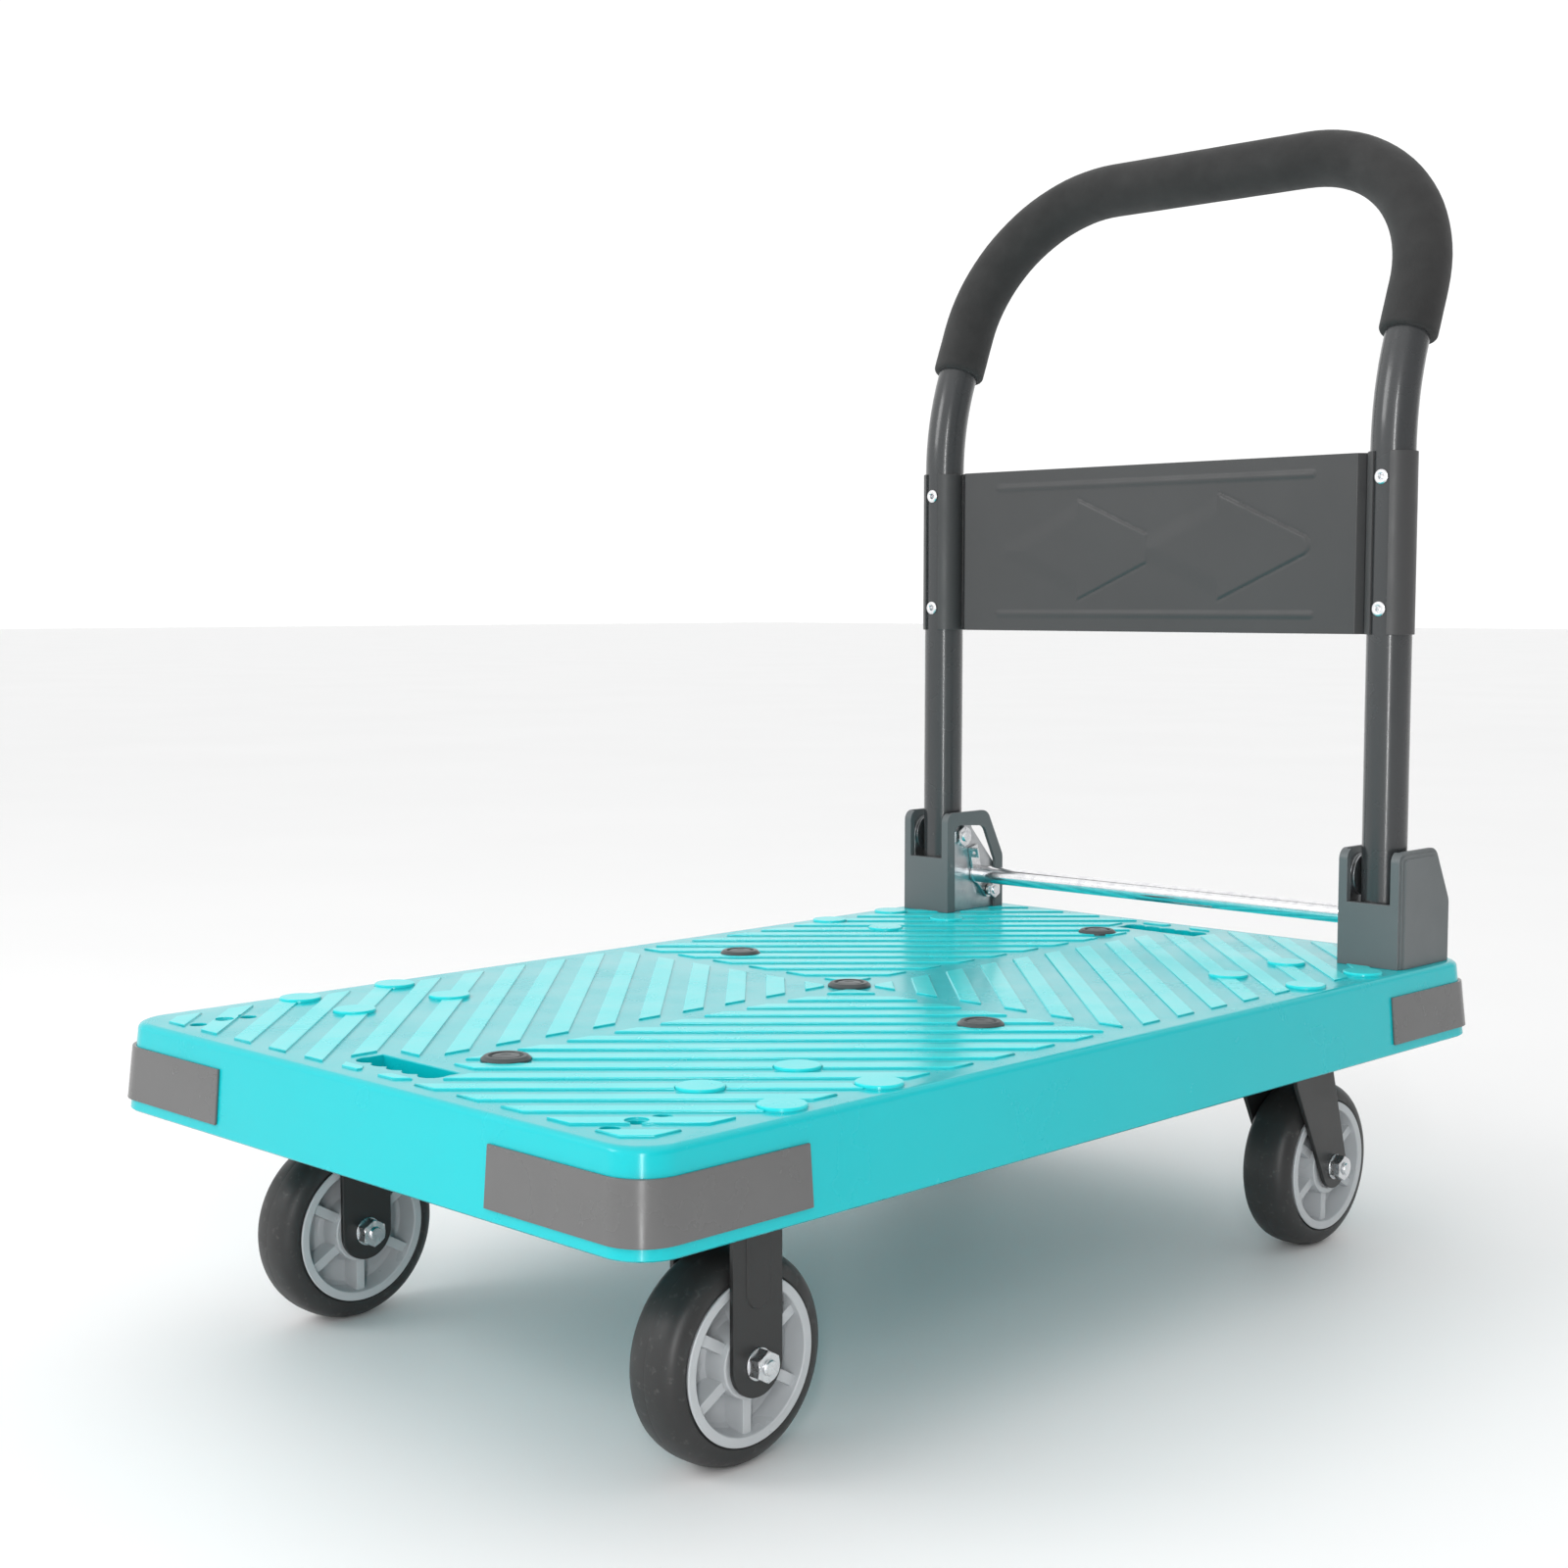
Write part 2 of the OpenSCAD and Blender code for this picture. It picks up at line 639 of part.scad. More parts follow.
// ---------- hinge ----------
// Two discs welded to a leg, one on each side, with a notch for the latch
module lock_plates(s) color([0.72, 0.73, 0.74]) centred() on_side(s)
    translate([leg_x, leg_y, pivot_z]) difference() {
        each_side() difference() {
            x_rod(lock_plate_r, tube_r - join, lock_in + lock_plate_t);
            x_rod(pivot_r + slip, tube_r - through, ear_in);
            translate([tube_r - through, 6, -lock_plate_r - 2]) cube([lock_plate_t + 2 * through, 6, 8]);
        }
        translate([0, 0, -leg_tail]) cylinder(r = tube_r, h = 2 * leg_tail);
    }

module each_ear() translate([leg_x, 0, 0]) each_side() children();
module ear_shape() difference() {
    union() {
        translate([ear_front, top_z]) square([ear_back - ear_front, ear_h]);
        translate([ear_front, top_z + ear_h - 1]) square([2 * ear_r, pivot_h - ear_h + 1]);
        translate([leg_y, pivot_z]) circle(r = ear_r);
        polygon([[leg_y + 8, pivot_z + 14.6], [ear_back, top_z + ear_h - 0.1], [leg_y, top_z + ear_h - 0.1]]);
    }
    translate([leg_y, pivot_z]) circle(r = pivot_r + slip);
    translate([stud_y, stud_z]) circle(r = stud_r + slip);
}
module hinge_bracket(s) color([0.55, 0.56, 0.57]) centred() on_side(s) {
    each_ear() x_plate(ear_in, ear_out) ear_shape();
    difference() {
        translate([leg_x - ear_out, ear_front, top_z]) cube([2 * ear_out, ear_back - ear_front, bracket_t]);
        for (y = bracket_bolt_y) translate([leg_x, y, top_z - through])
            cylinder(r = bracket_bolt_r + slip, h = bracket_t + 2 * through);
    }
}

// Side outline of the hinge cover, in YZ, smaller by inset
module cover_side(inset) hull() {
    translate([cover_front + inset, top_z]) square([cover_l - 2 * inset, 1]);
    translate([cover_front + cover_front_r, top_z + cover_h - cover_front_r])
        circle(r = cover_front_r - inset);
    translate([cover_front + cover_top_y, top_z + cover_h - cover_top_r])
        circle(r = cover_top_r - inset);
    translate([cover_back - cover_back_r, top_z + cover_back_z]) circle(r = cover_back_r - inset);
}
// Window in the cover's inner wall, open at the bottom
module cover_window() hull() {
    translate([cover_front + window_edge, top_z - through]) square([cover_l - 2 * window_edge, 1]);
    translate([cover_front + window_edge + 8, top_z + cover_h - window_edge - 10]) circle(r = 9);
    translate([cover_front + cover_top_y - 4, top_z + cover_h - window_edge - 13]) circle(r = 10);
    translate([cover_back - window_edge - 9, top_z + cover_back_z - 3]) circle(r = 9);
}
module hinge_cover(s) color([0.37, 0.40, 0.41]) centred() on_side(s) translate([leg_x, 0, 0])
    difference() {
        union() {
            x_plate(-cover_out, cover_out) cover_side(0);
            x_plate(cover_out - join, cover_out + outer_bead / 2) cover_side(bead_step);
            x_plate(cover_out, cover_out + outer_bead) cover_side(2 * bead_step);
        }
        // room for the bracket's ears and the leg
        x_plate(-cover_in, cover_in) translate([leg_y - room_front, top_z - through])
            square([cover_l, cover_h + 2 * through]);
        // the slot in front, above the front wall
        translate([-lip_in, cover_front - through, top_z + cover_front_h])
            cube([2 * lip_in, cover_l, cover_h]);
        // room behind the front wall
        translate([-cover_in, cover_front + cover_t, top_z - through])
            cube([2 * cover_in, cover_l / 4, cover_front_h - cover_t]);
        // room for the head of the pivot bolt
        translate([0, leg_y, pivot_z])
            x_rod(pivot_head_r + 2 * gap, cover_in - through, cover_in + pivot_head_h);
        x_plate(-cover_out - through, join - cover_in) cover_window();
    }

module bracket_bolts() color([0.70, 0.71, 0.72]) centred()
    for (s = [-1, 1], y = bracket_bolt_y) translate([s * leg_x, y, 0]) {
        translate([0, 0, deck_z - nut_h]) z_hex(nut_af, nut_h);
        translate([0, 0, deck_z]) cylinder(r = bracket_bolt_r, h = deck_h + bracket_t);
        translate([0, 0, top_z + bracket_t])
            cylinder(r1 = bracket_head_r[0], r2 = bracket_head_r[1], h = bracket_head_h);
    }

module pivot_bolt(s) color([0.75, 0.76, 0.77]) centred() on_side(s) translate([leg_x, leg_y, pivot_z]) {
    x_rod(pivot_r, -ear_out - pivot_nut_h - thread_out, ear_out);
    x_rod(pivot_head_r, ear_out, ear_out + pivot_head_h);
    x_hex(pivot_nut_af, -ear_out - pivot_nut_h, -ear_out);
}

// ---------- release bar ----------
module release_rod() color([0.85, 0.86, 0.87]) centred()
    translate([arm_t - arm_reach, rod_y, rod_z]) rotate([90, 0, 90])
        tube_wall(rod_r, rod_r - rod_wall, 2 * (arm_reach - arm_t));

module arm_shape() difference() {
    union() {
        translate([stud_y, stud_z]) circle(r = stud_r + stud_rim);
        translate([rod_y, rod_z]) {
            circle(r = rod_r + 1);
            rotate(atan2(stud_z - rod_z, stud_y - rod_y)) translate([0, -arm_w / 2])
                square([norm([stud_y - rod_y, stud_z - rod_z]), arm_w]);
            rotate(finger_turn) translate([0, -finger_w / 2]) square([finger_l, finger_w]);
        }
    }
    translate([stud_y, stud_z]) circle(r = stud_r + slip);
}
module release_arm(s) color([0.80, 0.81, 0.82]) centred() on_side(s) {
    x_plate(leg_x - arm_out, leg_x - arm_in) arm_shape();
    translate([leg_x - arm_out - tab[0] + join, rod_y, rod_z]) rotate([finger_turn - 90, 0, 0])
        translate([0, -finger_w / 2, finger_l - tab[2]]) difference() {
            cube(tab);
            translate([tab[0] / 2, -through, tab[2] / 2]) rotate([-90, 0, 0])
                cylinder(r = tab_hole_r, h = tab[1] + 2 * through);
        }
}

module release_studs() color([0.78, 0.79, 0.80]) centred() each_side() translate([leg_x, stud_y, stud_z]) {
    x_rod(stud_r, -stud_end, -ear_in);
    x_rod(stud_head_r, -ear_in, stud_head_h - ear_in);
    x_hex(nut_af, 1 - stud_end, stud_nut_h + 1 - stud_end);
}

// Torsion springs wound round the studs, as closed turns
module release_springs() color([0.60, 0.61, 0.62]) centred() each_side()
    translate([leg_x - arm_out - gap - spring_wire, stud_y, stud_z]) rotate([0, -90, 0])
        for (i = [0:spring_turns - 1]) translate([0, 0, i * spring_pitch])
            rotate_extrude() translate([stud_r + 1.1, 0]) circle(r = spring_wire, $fn = 24);

// ---------- casters ----------
module bolt_holes(z, h) translate([0, 0, z]) bolt_square() cylinder(r = caster_bolt_r + slip, h = h);
module top_plate() translate([-plate_half_w, -plate_half_l, plate_z])
    cube([2 * plate_half_w, 2 * plate_half_l, fork_t]);
module fork_bore() x_rod(axle_r + slip, -fork_out - 2 * through, fork_out + 2 * through);
module fork_legs() each_side() x_plate(fork_half, fork_out) children();

// Outline of a fixed fork's leg, about its axle
module front_leg_shape() {
    leg_h = plate_z + 1 - axle_z;
    circle(r = front_leg_half);
    translate([-front_leg_half, 0]) square([2 * front_leg_half, leg_h]);
    polygon([[-front_leg_half, leg_h - front_flare_h], [front_leg_half, leg_h - front_flare_h],
        [front_leg_half + front_leg_flare, leg_h], [-front_leg_half - front_leg_flare, leg_h]]);
}
module front_fork(s) color([0.16, 0.16, 0.17]) centred() on_side(s) translate([wheel_x, front_y, 0])
    difference() {
        union() {
            translate([0, 0, axle_z]) fork_legs() front_leg_shape();
            top_plate();
            // pressed bead down the middle of each leg
            each_side() translate([fork_out - join, 0, axle_z + bead_from_axle]) {
                rotate([0, 90, 0]) cylinder(r = bead_r, h = bead_h + join);
                translate([0, -bead_r, 0])
                    cube([bead_h + join, 2 * bead_r, plate_z - axle_z - bead_from_axle - 1]);
            }
        }
        translate([0, 0, axle_z]) fork_bore();
        bolt_holes(plate_z - through, fork_t + 2 * through);
    }

module swivel_plate(s) color([0.16, 0.16, 0.17]) centred() on_side(s) translate([wheel_x, swivel_y, 0])
    difference() {
        union() {
            top_plate();
            // skirt that holds the upper ball race
            translate([0, 0, plate_z - race_wall]) tube_wall(ball_ring_r + ball_r + race_wall + 1,
                ball_ring_r + ball_r + 1, race_wall + join);
        }
        translate([0, 0, plate_z - through]) cylinder(r = king_r + slip, h = fork_t + 2 * through);
        bolt_holes(plate_z - through, fork_t + 2 * through);
    }

module swivel_balls(s) color([0.80, 0.81, 0.82]) centred() on_side(s) translate([wheel_x, swivel_y, 0])
    for (i = [0:ball_count - 1]) rotate([0, 0, i * 360 / ball_count])
        translate([ball_ring_r, 0, plate_z - gap - ball_r]) sphere(r = ball_r, $fn = 24);

module king_pin(s) color([0.60, 0.61, 0.62]) centred() on_side(s) translate([wheel_x, swivel_y, 0]) {
    translate([0, 0, crown_z - fork_t - king_nut_h])
        cylinder(r = king_r, h = seat_z - gap - crown_z + fork_t + king_nut_h);
    translate([0, 0, crown_z - fork_t - king_nut_h]) z_hex(king_nut_af, king_nut_h - gap);
}

// Outline of a swivel fork's leg, about the swivel axis
module swivel_leg_shape() {
    translate([trail, axle_z]) circle(r = swivel_leg_r);
    polygon([[-swivel_half, crown_z], [swivel_half, crown_z], [trail + swivel_leg_r - 0.1, axle_z + 4],
        [trail - swivel_leg_r + 2, axle_z - 8], [4 - swivel_half, crown_z - 20]]);
}
module swivel_fork(s) color([0.16, 0.16, 0.17]) centred() on_side(s) translate([wheel_x, swivel_y, 0])
    difference() {
        union() {
            fork_legs() swivel_leg_shape();
            translate([0, 0, crown_z - fork_t]) {
                cylinder(r = crown_r, h = fork_t);
                translate([-fork_out, -swivel_half, 0]) cube([2 * fork_out, 2 * swivel_half, fork_t]);
            }
            // lower ball race
            translate([0, 0, crown_z - join])
                tube_wall(ball_ring_r + ball_r - 0.2, ball_ring_r - ball_r, join + race_h / 2);
        }
        translate([0, trail, axle_z]) fork_bore();
        translate([0, 0, crown_z - fork_t - through])
            cylinder(r = king_r + slip, h = fork_t + race_h + 2 * through);
    }

module plate_bolts(y) color([0.70, 0.71, 0.72]) centred() each_side() translate([wheel_x, y, plate_z])
    bolt_square() {
        translate([0, 0, -caster_nut_h]) z_hex(nut_af, caster_nut_h);
        cylinder(r = caster_bolt_r, h = fork_t + bolt_depth - 4);
    }

// ---------- wheels ----------
// Half of the tyre's crown in section, from the middle outwards: [depth below the tread, distance in
// from the side]
tyre_crown = [[0, tyre_w / 2 - 3], [0.25, 14], [0.9, 9.5], [2.2, 5], [4, 2.2], [6.5, 0.6], [10, 0]];
module tyre_profile() {
    h = tyre_w / 2;
    polygon(concat([for (p = tyre_crown) [wheel_r - p[0], h - p[1]]],
        [[rim_r + rim_groove, h], [rim_r - rim_groove, h - 2], [rim_r - rim_groove, 2 - h],
            [rim_r + rim_groove, -h]],
        [for (i = [len(tyre_crown) - 1:-1:0]) [wheel_r - tyre_crown[i][0], tyre_crown[i][1] - h]]));
}
module x_turned(x, y) translate([x, y, axle_z]) rotate([0, 90, 0]) children();

module tyre(x, y) color([0.15, 0.15, 0.15]) centred() x_turned(x, y) rotate_extrude($fn = 128) tyre_profile();

module rim_profile() {
    h = rim_w / 2;
    ring_r = rim_r - rim_lip;
    floor_r = rim_r - rim_groove - 0.1;
    // outer ring, web and hub
    polygon([[ring_r, -h], [rim_r - rim_break, -h], [rim_r, rim_break - h], [floor_r, 2 - tyre_w / 2],
        [floor_r, tyre_w / 2 - 2], [rim_r, h - rim_break], [rim_r - rim_break, h], [ring_r, h],
        [ring_r - 1.5, web_half], [ring_r - 1.5, -web_half]]);
    translate([hub_r - hub_overlap, -web_t / 2]) square([ring_r - hub_r + hub_overlap, web_t]);
    translate([sleeve_r + slip, -h]) square([hub_r - sleeve_r - slip, rim_w]);
}
module wheel_centre(x, y) color([0.62, 0.64, 0.65]) centred() x_turned(x, y) {
    spoke_h = (rim_w - web_t) / 2 - spoke_inset + join;
    rotate_extrude($fn = 128) rim_profile();
    for (i = [0:spokes - 1], side = [0, 1]) rotate([0, 180 * side, i * 360 / spokes])
        translate([hub_r - 1, -spoke_w / 2, web_t / 2 - join])
            cube([rim_r - rim_lip - hub_r + 1.5, spoke_w, spoke_h]);
}

module sleeve(x, y) color([0.75, 0.72, 0.6]) centred() x_turned(x, y)
    translate([0, 0, -fork_half]) tube_wall(sleeve_r, axle_r + slip, fork_gap);

module axle(x, y) color([0.80, 0.81, 0.82]) centred() translate([x, y, axle_z]) {
    face = fork_out + washer_t;
    x_rod(axle_r, -face, face + axle_nut_h + thread_out);
    x_rod(washer_r, fork_out, face);
    x_rod(washer_r, -face, -fork_out);
    x_hex(axle_nut_af, face, face + axle_nut_h);
    x_hex(axle_nut_af, -face - axle_head_h, -face);
}

deck();
deck_plugs();
bumper(-1, -1);  // bumper_front_left
bumper(1, -1);  // bumper_front_right
bumper(-1, 1);  // bumper_rear_left
bumper(1, 1);  // bumper_rear_right
handle_tube();
tube_end_caps();
foam_grip();
back_panel();
panel_rivets();
lock_plates(-1);  // lock_plates_left
lock_plates(1);  // lock_plates_right
hinge_bracket(-1);  // hinge_bracket_left
hinge_bracket(1);  // hinge_bracket_right
hinge_cover(-1);  // hinge_cover_left
hinge_cover(1);  // hinge_cover_right
bracket_bolts();
pivot_bolt(-1);  // pivot_bolt_left
pivot_bolt(1);  // pivot_bolt_right
release_rod();
release_arm(-1);  // release_arm_left
release_arm(1);  // release_arm_right
release_studs();
release_springs();
front_fork(-1);  // front_fork_left
front_fork(1);  // front_fork_right
plate_bolts(front_y);  // front_plate_bolts
swivel_plate(-1);  // swivel_plate_left
swivel_plate(1);  // swivel_plate_right
swivel_balls(-1);  // swivel_balls_left
swivel_balls(1);  // swivel_balls_right
swivel_fork(-1);  // swivel_fork_left
swivel_fork(1);  // swivel_fork_right
king_pin(-1);  // king_pin_left
king_pin(1);  // king_pin_right
plate_bolts(swivel_y);  // rear_plate_bolts
tyre(-wheel_x, front_y);  // tyre_front_left
tyre(wheel_x, front_y);  // tyre_front_right
tyre(-wheel_x, rear_y);  // tyre_rear_left
tyre(wheel_x, rear_y);  // tyre_rear_right
wheel_centre(-wheel_x, front_y);  // wheel_front_left
wheel_centre(wheel_x, front_y);  // wheel_front_right
wheel_centre(-wheel_x, rear_y);  // wheel_rear_left
wheel_centre(wheel_x, rear_y);  // wheel_rear_right
sleeve(-wheel_x, front_y);  // sleeve_front_left
sleeve(wheel_x, front_y);  // sleeve_front_right
sleeve(-wheel_x, rear_y);  // sleeve_rear_left
sleeve(wheel_x, rear_y);  // sleeve_rear_right
axle(-wheel_x, front_y);  // axle_front_left
axle(wheel_x, front_y);  // axle_front_right
axle(-wheel_x, rear_y);  // axle_rear_left
axle(wheel_x, rear_y);  // axle_rear_right
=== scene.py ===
"""Looks of the flatbed platform truck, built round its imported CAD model. Metres, +Z up."""
import json
import math

import bmesh
import bpy
from mathutils import Matrix, Vector

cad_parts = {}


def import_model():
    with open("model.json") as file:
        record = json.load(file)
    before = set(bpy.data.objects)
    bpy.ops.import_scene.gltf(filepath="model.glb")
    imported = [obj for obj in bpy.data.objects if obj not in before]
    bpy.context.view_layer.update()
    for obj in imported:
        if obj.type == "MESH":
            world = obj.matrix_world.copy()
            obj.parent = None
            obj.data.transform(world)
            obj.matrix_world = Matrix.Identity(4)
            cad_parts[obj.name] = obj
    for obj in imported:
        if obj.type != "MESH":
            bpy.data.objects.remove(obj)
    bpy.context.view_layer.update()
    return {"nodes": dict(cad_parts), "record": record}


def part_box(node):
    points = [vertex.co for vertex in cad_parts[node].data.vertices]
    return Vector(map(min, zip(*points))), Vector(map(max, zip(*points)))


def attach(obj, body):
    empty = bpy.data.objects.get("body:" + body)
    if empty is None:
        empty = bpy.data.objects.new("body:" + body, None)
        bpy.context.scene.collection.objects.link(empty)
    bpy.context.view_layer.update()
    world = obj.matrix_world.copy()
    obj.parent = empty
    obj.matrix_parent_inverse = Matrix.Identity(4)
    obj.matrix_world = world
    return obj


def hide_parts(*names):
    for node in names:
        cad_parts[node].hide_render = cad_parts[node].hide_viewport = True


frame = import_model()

MM = 0.001
SIDES = (("left", -1), ("right", 1))
ENDS = ("front", "rear")
WHEELS = [f"{end}_{side}" for end in ENDS for side, _ in SIDES]
BODY_OF = {node: body for body, nodes in frame["record"]["behaviour"]["bodies"].items() for node in nodes}
SLOT_OF = {s["node"]: s["material_slot"] for s in frame["record"]["subparts"]}
JOINT = {j["name"]: Vector(j["pos_m"]) for j in frame["record"]["behaviour"]["joints"]}


def middle(node):
    """The centre of a CAD node's box."""
    low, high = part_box(node)
    return (low + high) / 2


def mm(*values):
    """Lengths in millimetres as metres."""
    return tuple(value * MM for value in values)


def in_mm(rows):
    """An outline's rows given in millimetres, in metres."""
    return [mm(*row) for row in rows]


# ---------- places that the frame gives, and shared sizes ----------
PIVOT = JOINT["handle_fold"]
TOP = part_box("deck")[1].z - 2.5 * MM         # the deck's plain top face, under its round pads
TUBE_R = 17.5 * MM
LEG_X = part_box("handle_tube")[1].x - TUBE_R
GRIP_LOW, GRIP_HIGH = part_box("foam_grip")
SHANK_R = 5 * MM                             # the bolts' shanks
HEX_FLATS = 17 * MM                          # nuts and bolt heads, across their flats
NUT_BORE_R = 4 * MM
WELD = 0.004 * MM                            # CAD points this close are one point
NEAR = 0.01 * MM                             # a height this close to the deck's top is on it


# ---------- materials ----------
class Finish:
    """A Principled material whose colour, roughness and bump get their detail from noise in object space."""

    def __init__(self, name, colour, roughness, metallic=0.0, coat=0.0, coat_roughness=0.1, specular=0.5):
        self.material = bpy.data.materials.new(name)
        self.material.use_nodes = True
        self.tree = self.material.node_tree
        self.shader = self.tree.nodes["Principled BSDF"]
        self.colour = colour
        values = {"Base Color": (*colour, 1), "Roughness": roughness, "Metallic": metallic,
                  "Coat Weight": coat, "Coat Roughness": coat_roughness, "Specular IOR Level": specular}
        for socket, value in values.items():
            self.shader.inputs[socket].default_value = value
        self.place = self.node("ShaderNodeTexCoord").outputs["Object"]
        self.normal = None

    def node(self, kind, **values):
        made = self.tree.nodes.new(kind)
        for key, value in values.items():
            setattr(made, key, value)
        return made

    def link(self, source, target):
        self.tree.links.new(source, target)

    def noise(self, scale, detail=3.0, stretch=(1, 1, 1), roughness=0.5):
        """Noise of that many features a metre, from 0 to 1."""
        spread = self.node("ShaderNodeMapping")
        spread.inputs["Scale"].default_value = stretch
        self.link(self.place, spread.inputs["Vector"])
        made = self.node("ShaderNodeTexNoise")
        made.inputs["Scale"].default_value = scale
        made.inputs["Detail"].default_value = detail
        made.inputs["Roughness"].default_value = roughness
        self.link(spread.outputs[0], made.inputs["Vector"])
        return made.outputs["Fac"]

    def cells(self, scale):
        """Distance from the middle of the nearest cell."""
        made = self.node("ShaderNodeTexVoronoi")
        made.inputs["Scale"].default_value = scale
        self.link(self.place, made.inputs["Vector"])
        return made.outputs["Distance"]

    def remap(self, source, low, high, to_low=0.0, to_high=1.0):
        """What runs from low to high, clamped and stretched to run from to_low to to_high."""
        made = self.node("ShaderNodeMapRange")
        for socket, value in zip(("From Min", "From Max", "To Min", "To Max"), (low, high, to_low, to_high)):
            made.inputs[socket].default_value = value
        self.link(source, made.inputs["Value"])
        return made.outputs["Result"]

    def multiply(self, a, b):
        made = self.node("ShaderNodeMath", operation="MULTIPLY")
        self.link(a, made.inputs[0])
        self.link(b, made.inputs[1])
        return made.outputs[0]

    def axis(self, which):
        """One coordinate of the point, in metres."""
        made = self.node("ShaderNodeSeparateXYZ")
        self.link(self.place, made.inputs[0])
        return made.outputs[which]

    def tint(self, mask, colour):
        """Mixes colour over what is there, where the mask is 1."""
        mix = self.node("ShaderNodeMix", data_type="RGBA")
        target = self.shader.inputs["Base Color"]
        if target.is_linked:
            self.link(target.links[0].from_socket, mix.inputs["A"])
        else:
            mix.inputs["A"].default_value = target.default_value
        mix.inputs["B"].default_value = (*colour, 1)
        self.link(mask, mix.inputs["Factor"])
        self.link(mix.outputs["Result"], target)
        return self

    def mottle(self, scale, amount):
        """Patches of the colour that are lighter by amount."""
        patches = self.remap(self.noise(scale, 4.0), 0.3, 0.75)
        return self.tint(patches, tuple(min(1, c * (1 + amount)) for c in self.colour))

    def rub(self, scale, low, high, stretch=(1, 1, 1)):
        """Roughness that wanders between low and high."""
        wander = self.remap(self.noise(scale, 5.0, stretch), 0.3, 0.7, low, high)
        self.link(wander, self.shader.inputs["Roughness"])
        return self

    def relief(self, height, depth):
        """Bump of that depth in metres, on top of any bump already there."""
        bump = self.node("ShaderNodeBump")
        bump.inputs["Strength"].default_value = 1.0
        bump.inputs["Distance"].default_value = depth
        self.link(height, bump.inputs["Height"])
        if self.normal:
            self.link(self.normal, bump.inputs["Normal"])
        self.normal = bump.outputs["Normal"]
        self.link(self.normal, self.shader.inputs["Normal"])
        return self


def grey(value):
    """A neutral colour."""
    return (value, value, value)


def deck_plastic():
    """Glossy turquoise moulding: painted lighter where it stands up, a painted highlight, with orange peel
    and faint scuffs.
    """
    made = Finish("deck_plastic", (0.002, 0.500, 0.545), 0.27, coat=0.12, coat_roughness=0.10, specular=0.32)
    made.mottle(5, 0.05)
    height = made.axis("Z")
    # the raised bars and pads get a lighter tint than the deck between them: a painted highlight; the scuffs
    # below keep to the same bars
    bar_highlight_mask = made.remap(height, TOP + 0.5 * MM, TOP + 1.0 * MM)
    made.tint(bar_highlight_mask, (0.014, 0.700, 0.730))
    scuffs = made.multiply(made.remap(made.noise(60, 8.0, (1, 6, 1), 0.7), 0.62, 0.72), bar_highlight_mask)
    scuffs = made.multiply(scuffs, made.remap(made.noise(9, 2.0), 0.45, 0.7))
    made.tint(scuffs, (0.05, 0.70, 0.73))
    made.rub(24, 0.17, 0.30)
    made.relief(made.noise(90, 2.0), 0.10 * MM)
    return made.relief(made.noise(1500, 2.0), 0.010 * MM)


def moulded(name, colour, roughness, grain):
    """Satin moulded plastic with a fine spark-eroded grain."""
    made = Finish(name, colour, roughness, specular=0.5)
    made.mottle(14, 0.10)
    made.rub(30, roughness - 0.06, roughness + 0.08)
    made.relief(made.noise(60, 2.0), 0.05 * MM)
    return made.relief(made.noise(2600, 3.0), grain * MM)


def painted(name, colour, roughness, peel, coat=0.0):
    """Coated metal: orange peel, dust nibs and slow changes of gloss."""
    made = Finish(name, colour, roughness, coat=coat, coat_roughness=0.12)
    made.mottle(10, 0.12)
    nibs = made.remap(made.noise(900, 6.0), 0.70, 0.76)
    made.tint(nibs, tuple(min(1, c * 1.8 + 0.01) for c in colour))
    made.rub(35, roughness - 0.05, roughness + 0.07)
    return made.relief(made.noise(700, 3.0), peel * MM)


def plated(name, colour, roughness, stretch=(1, 1, 1), warm=0.0):
    """Bright metal: fine drawing lines and a mottled, faintly tinted bloom."""
    made = Finish(name, colour, roughness, metallic=1.0)
    bloom = made.remap(made.noise(120, 5.0), 0.45, 0.7)
    made.tint(bloom, (colour[0] * (0.86 + warm), colour[1] * 0.86, colour[2] * (0.88 - warm)))
    made.rub(240, roughness - 0.07, roughness + 0.12, stretch)
    return made.relief(made.noise(1400, 4.0, stretch), 0.012 * MM)


def foam_material():
    """Closed-cell foam rubber: matte, with small pores with painted shade in their pits, and soft dents."""
    made = Finish("foam", grey(0.019), 0.74, specular=0.35)
    made.shader.inputs["Sheen Weight"].default_value = 0.08
    made.shader.inputs["Sheen Roughness"].default_value = 0.6
    made.mottle(30, 0.35)
    pores = made.remap(made.cells(1100), 0.0, 0.42)
    # the middles of the pits are tinted darker: painted shade in the pores
    made.tint(made.remap(made.cells(1100), 0.22, 0.05), grey(0.012))
    made.rub(50, 0.68, 0.88)
    made.relief(made.noise(70, 3.0), 0.25 * MM)
    return made.relief(pores, 0.10 * MM)


def tyre_material():
    """Satin rubber with a fine moulded texture and a duller, dusty tread."""
    made = Finish("tyre_rubber", grey(0.024), 0.46, specular=0.45)
    made.mottle(40, 0.30)
    dust = made.remap(made.noise(220, 6.0), 0.60, 0.74)
    made.tint(dust, (0.060, 0.059, 0.057))
    made.rub(45, 0.38, 0.56)
    made.relief(made.noise(320, 3.0), 0.05 * MM)
    return made.relief(made.noise(2400, 3.0), 0.015 * MM)


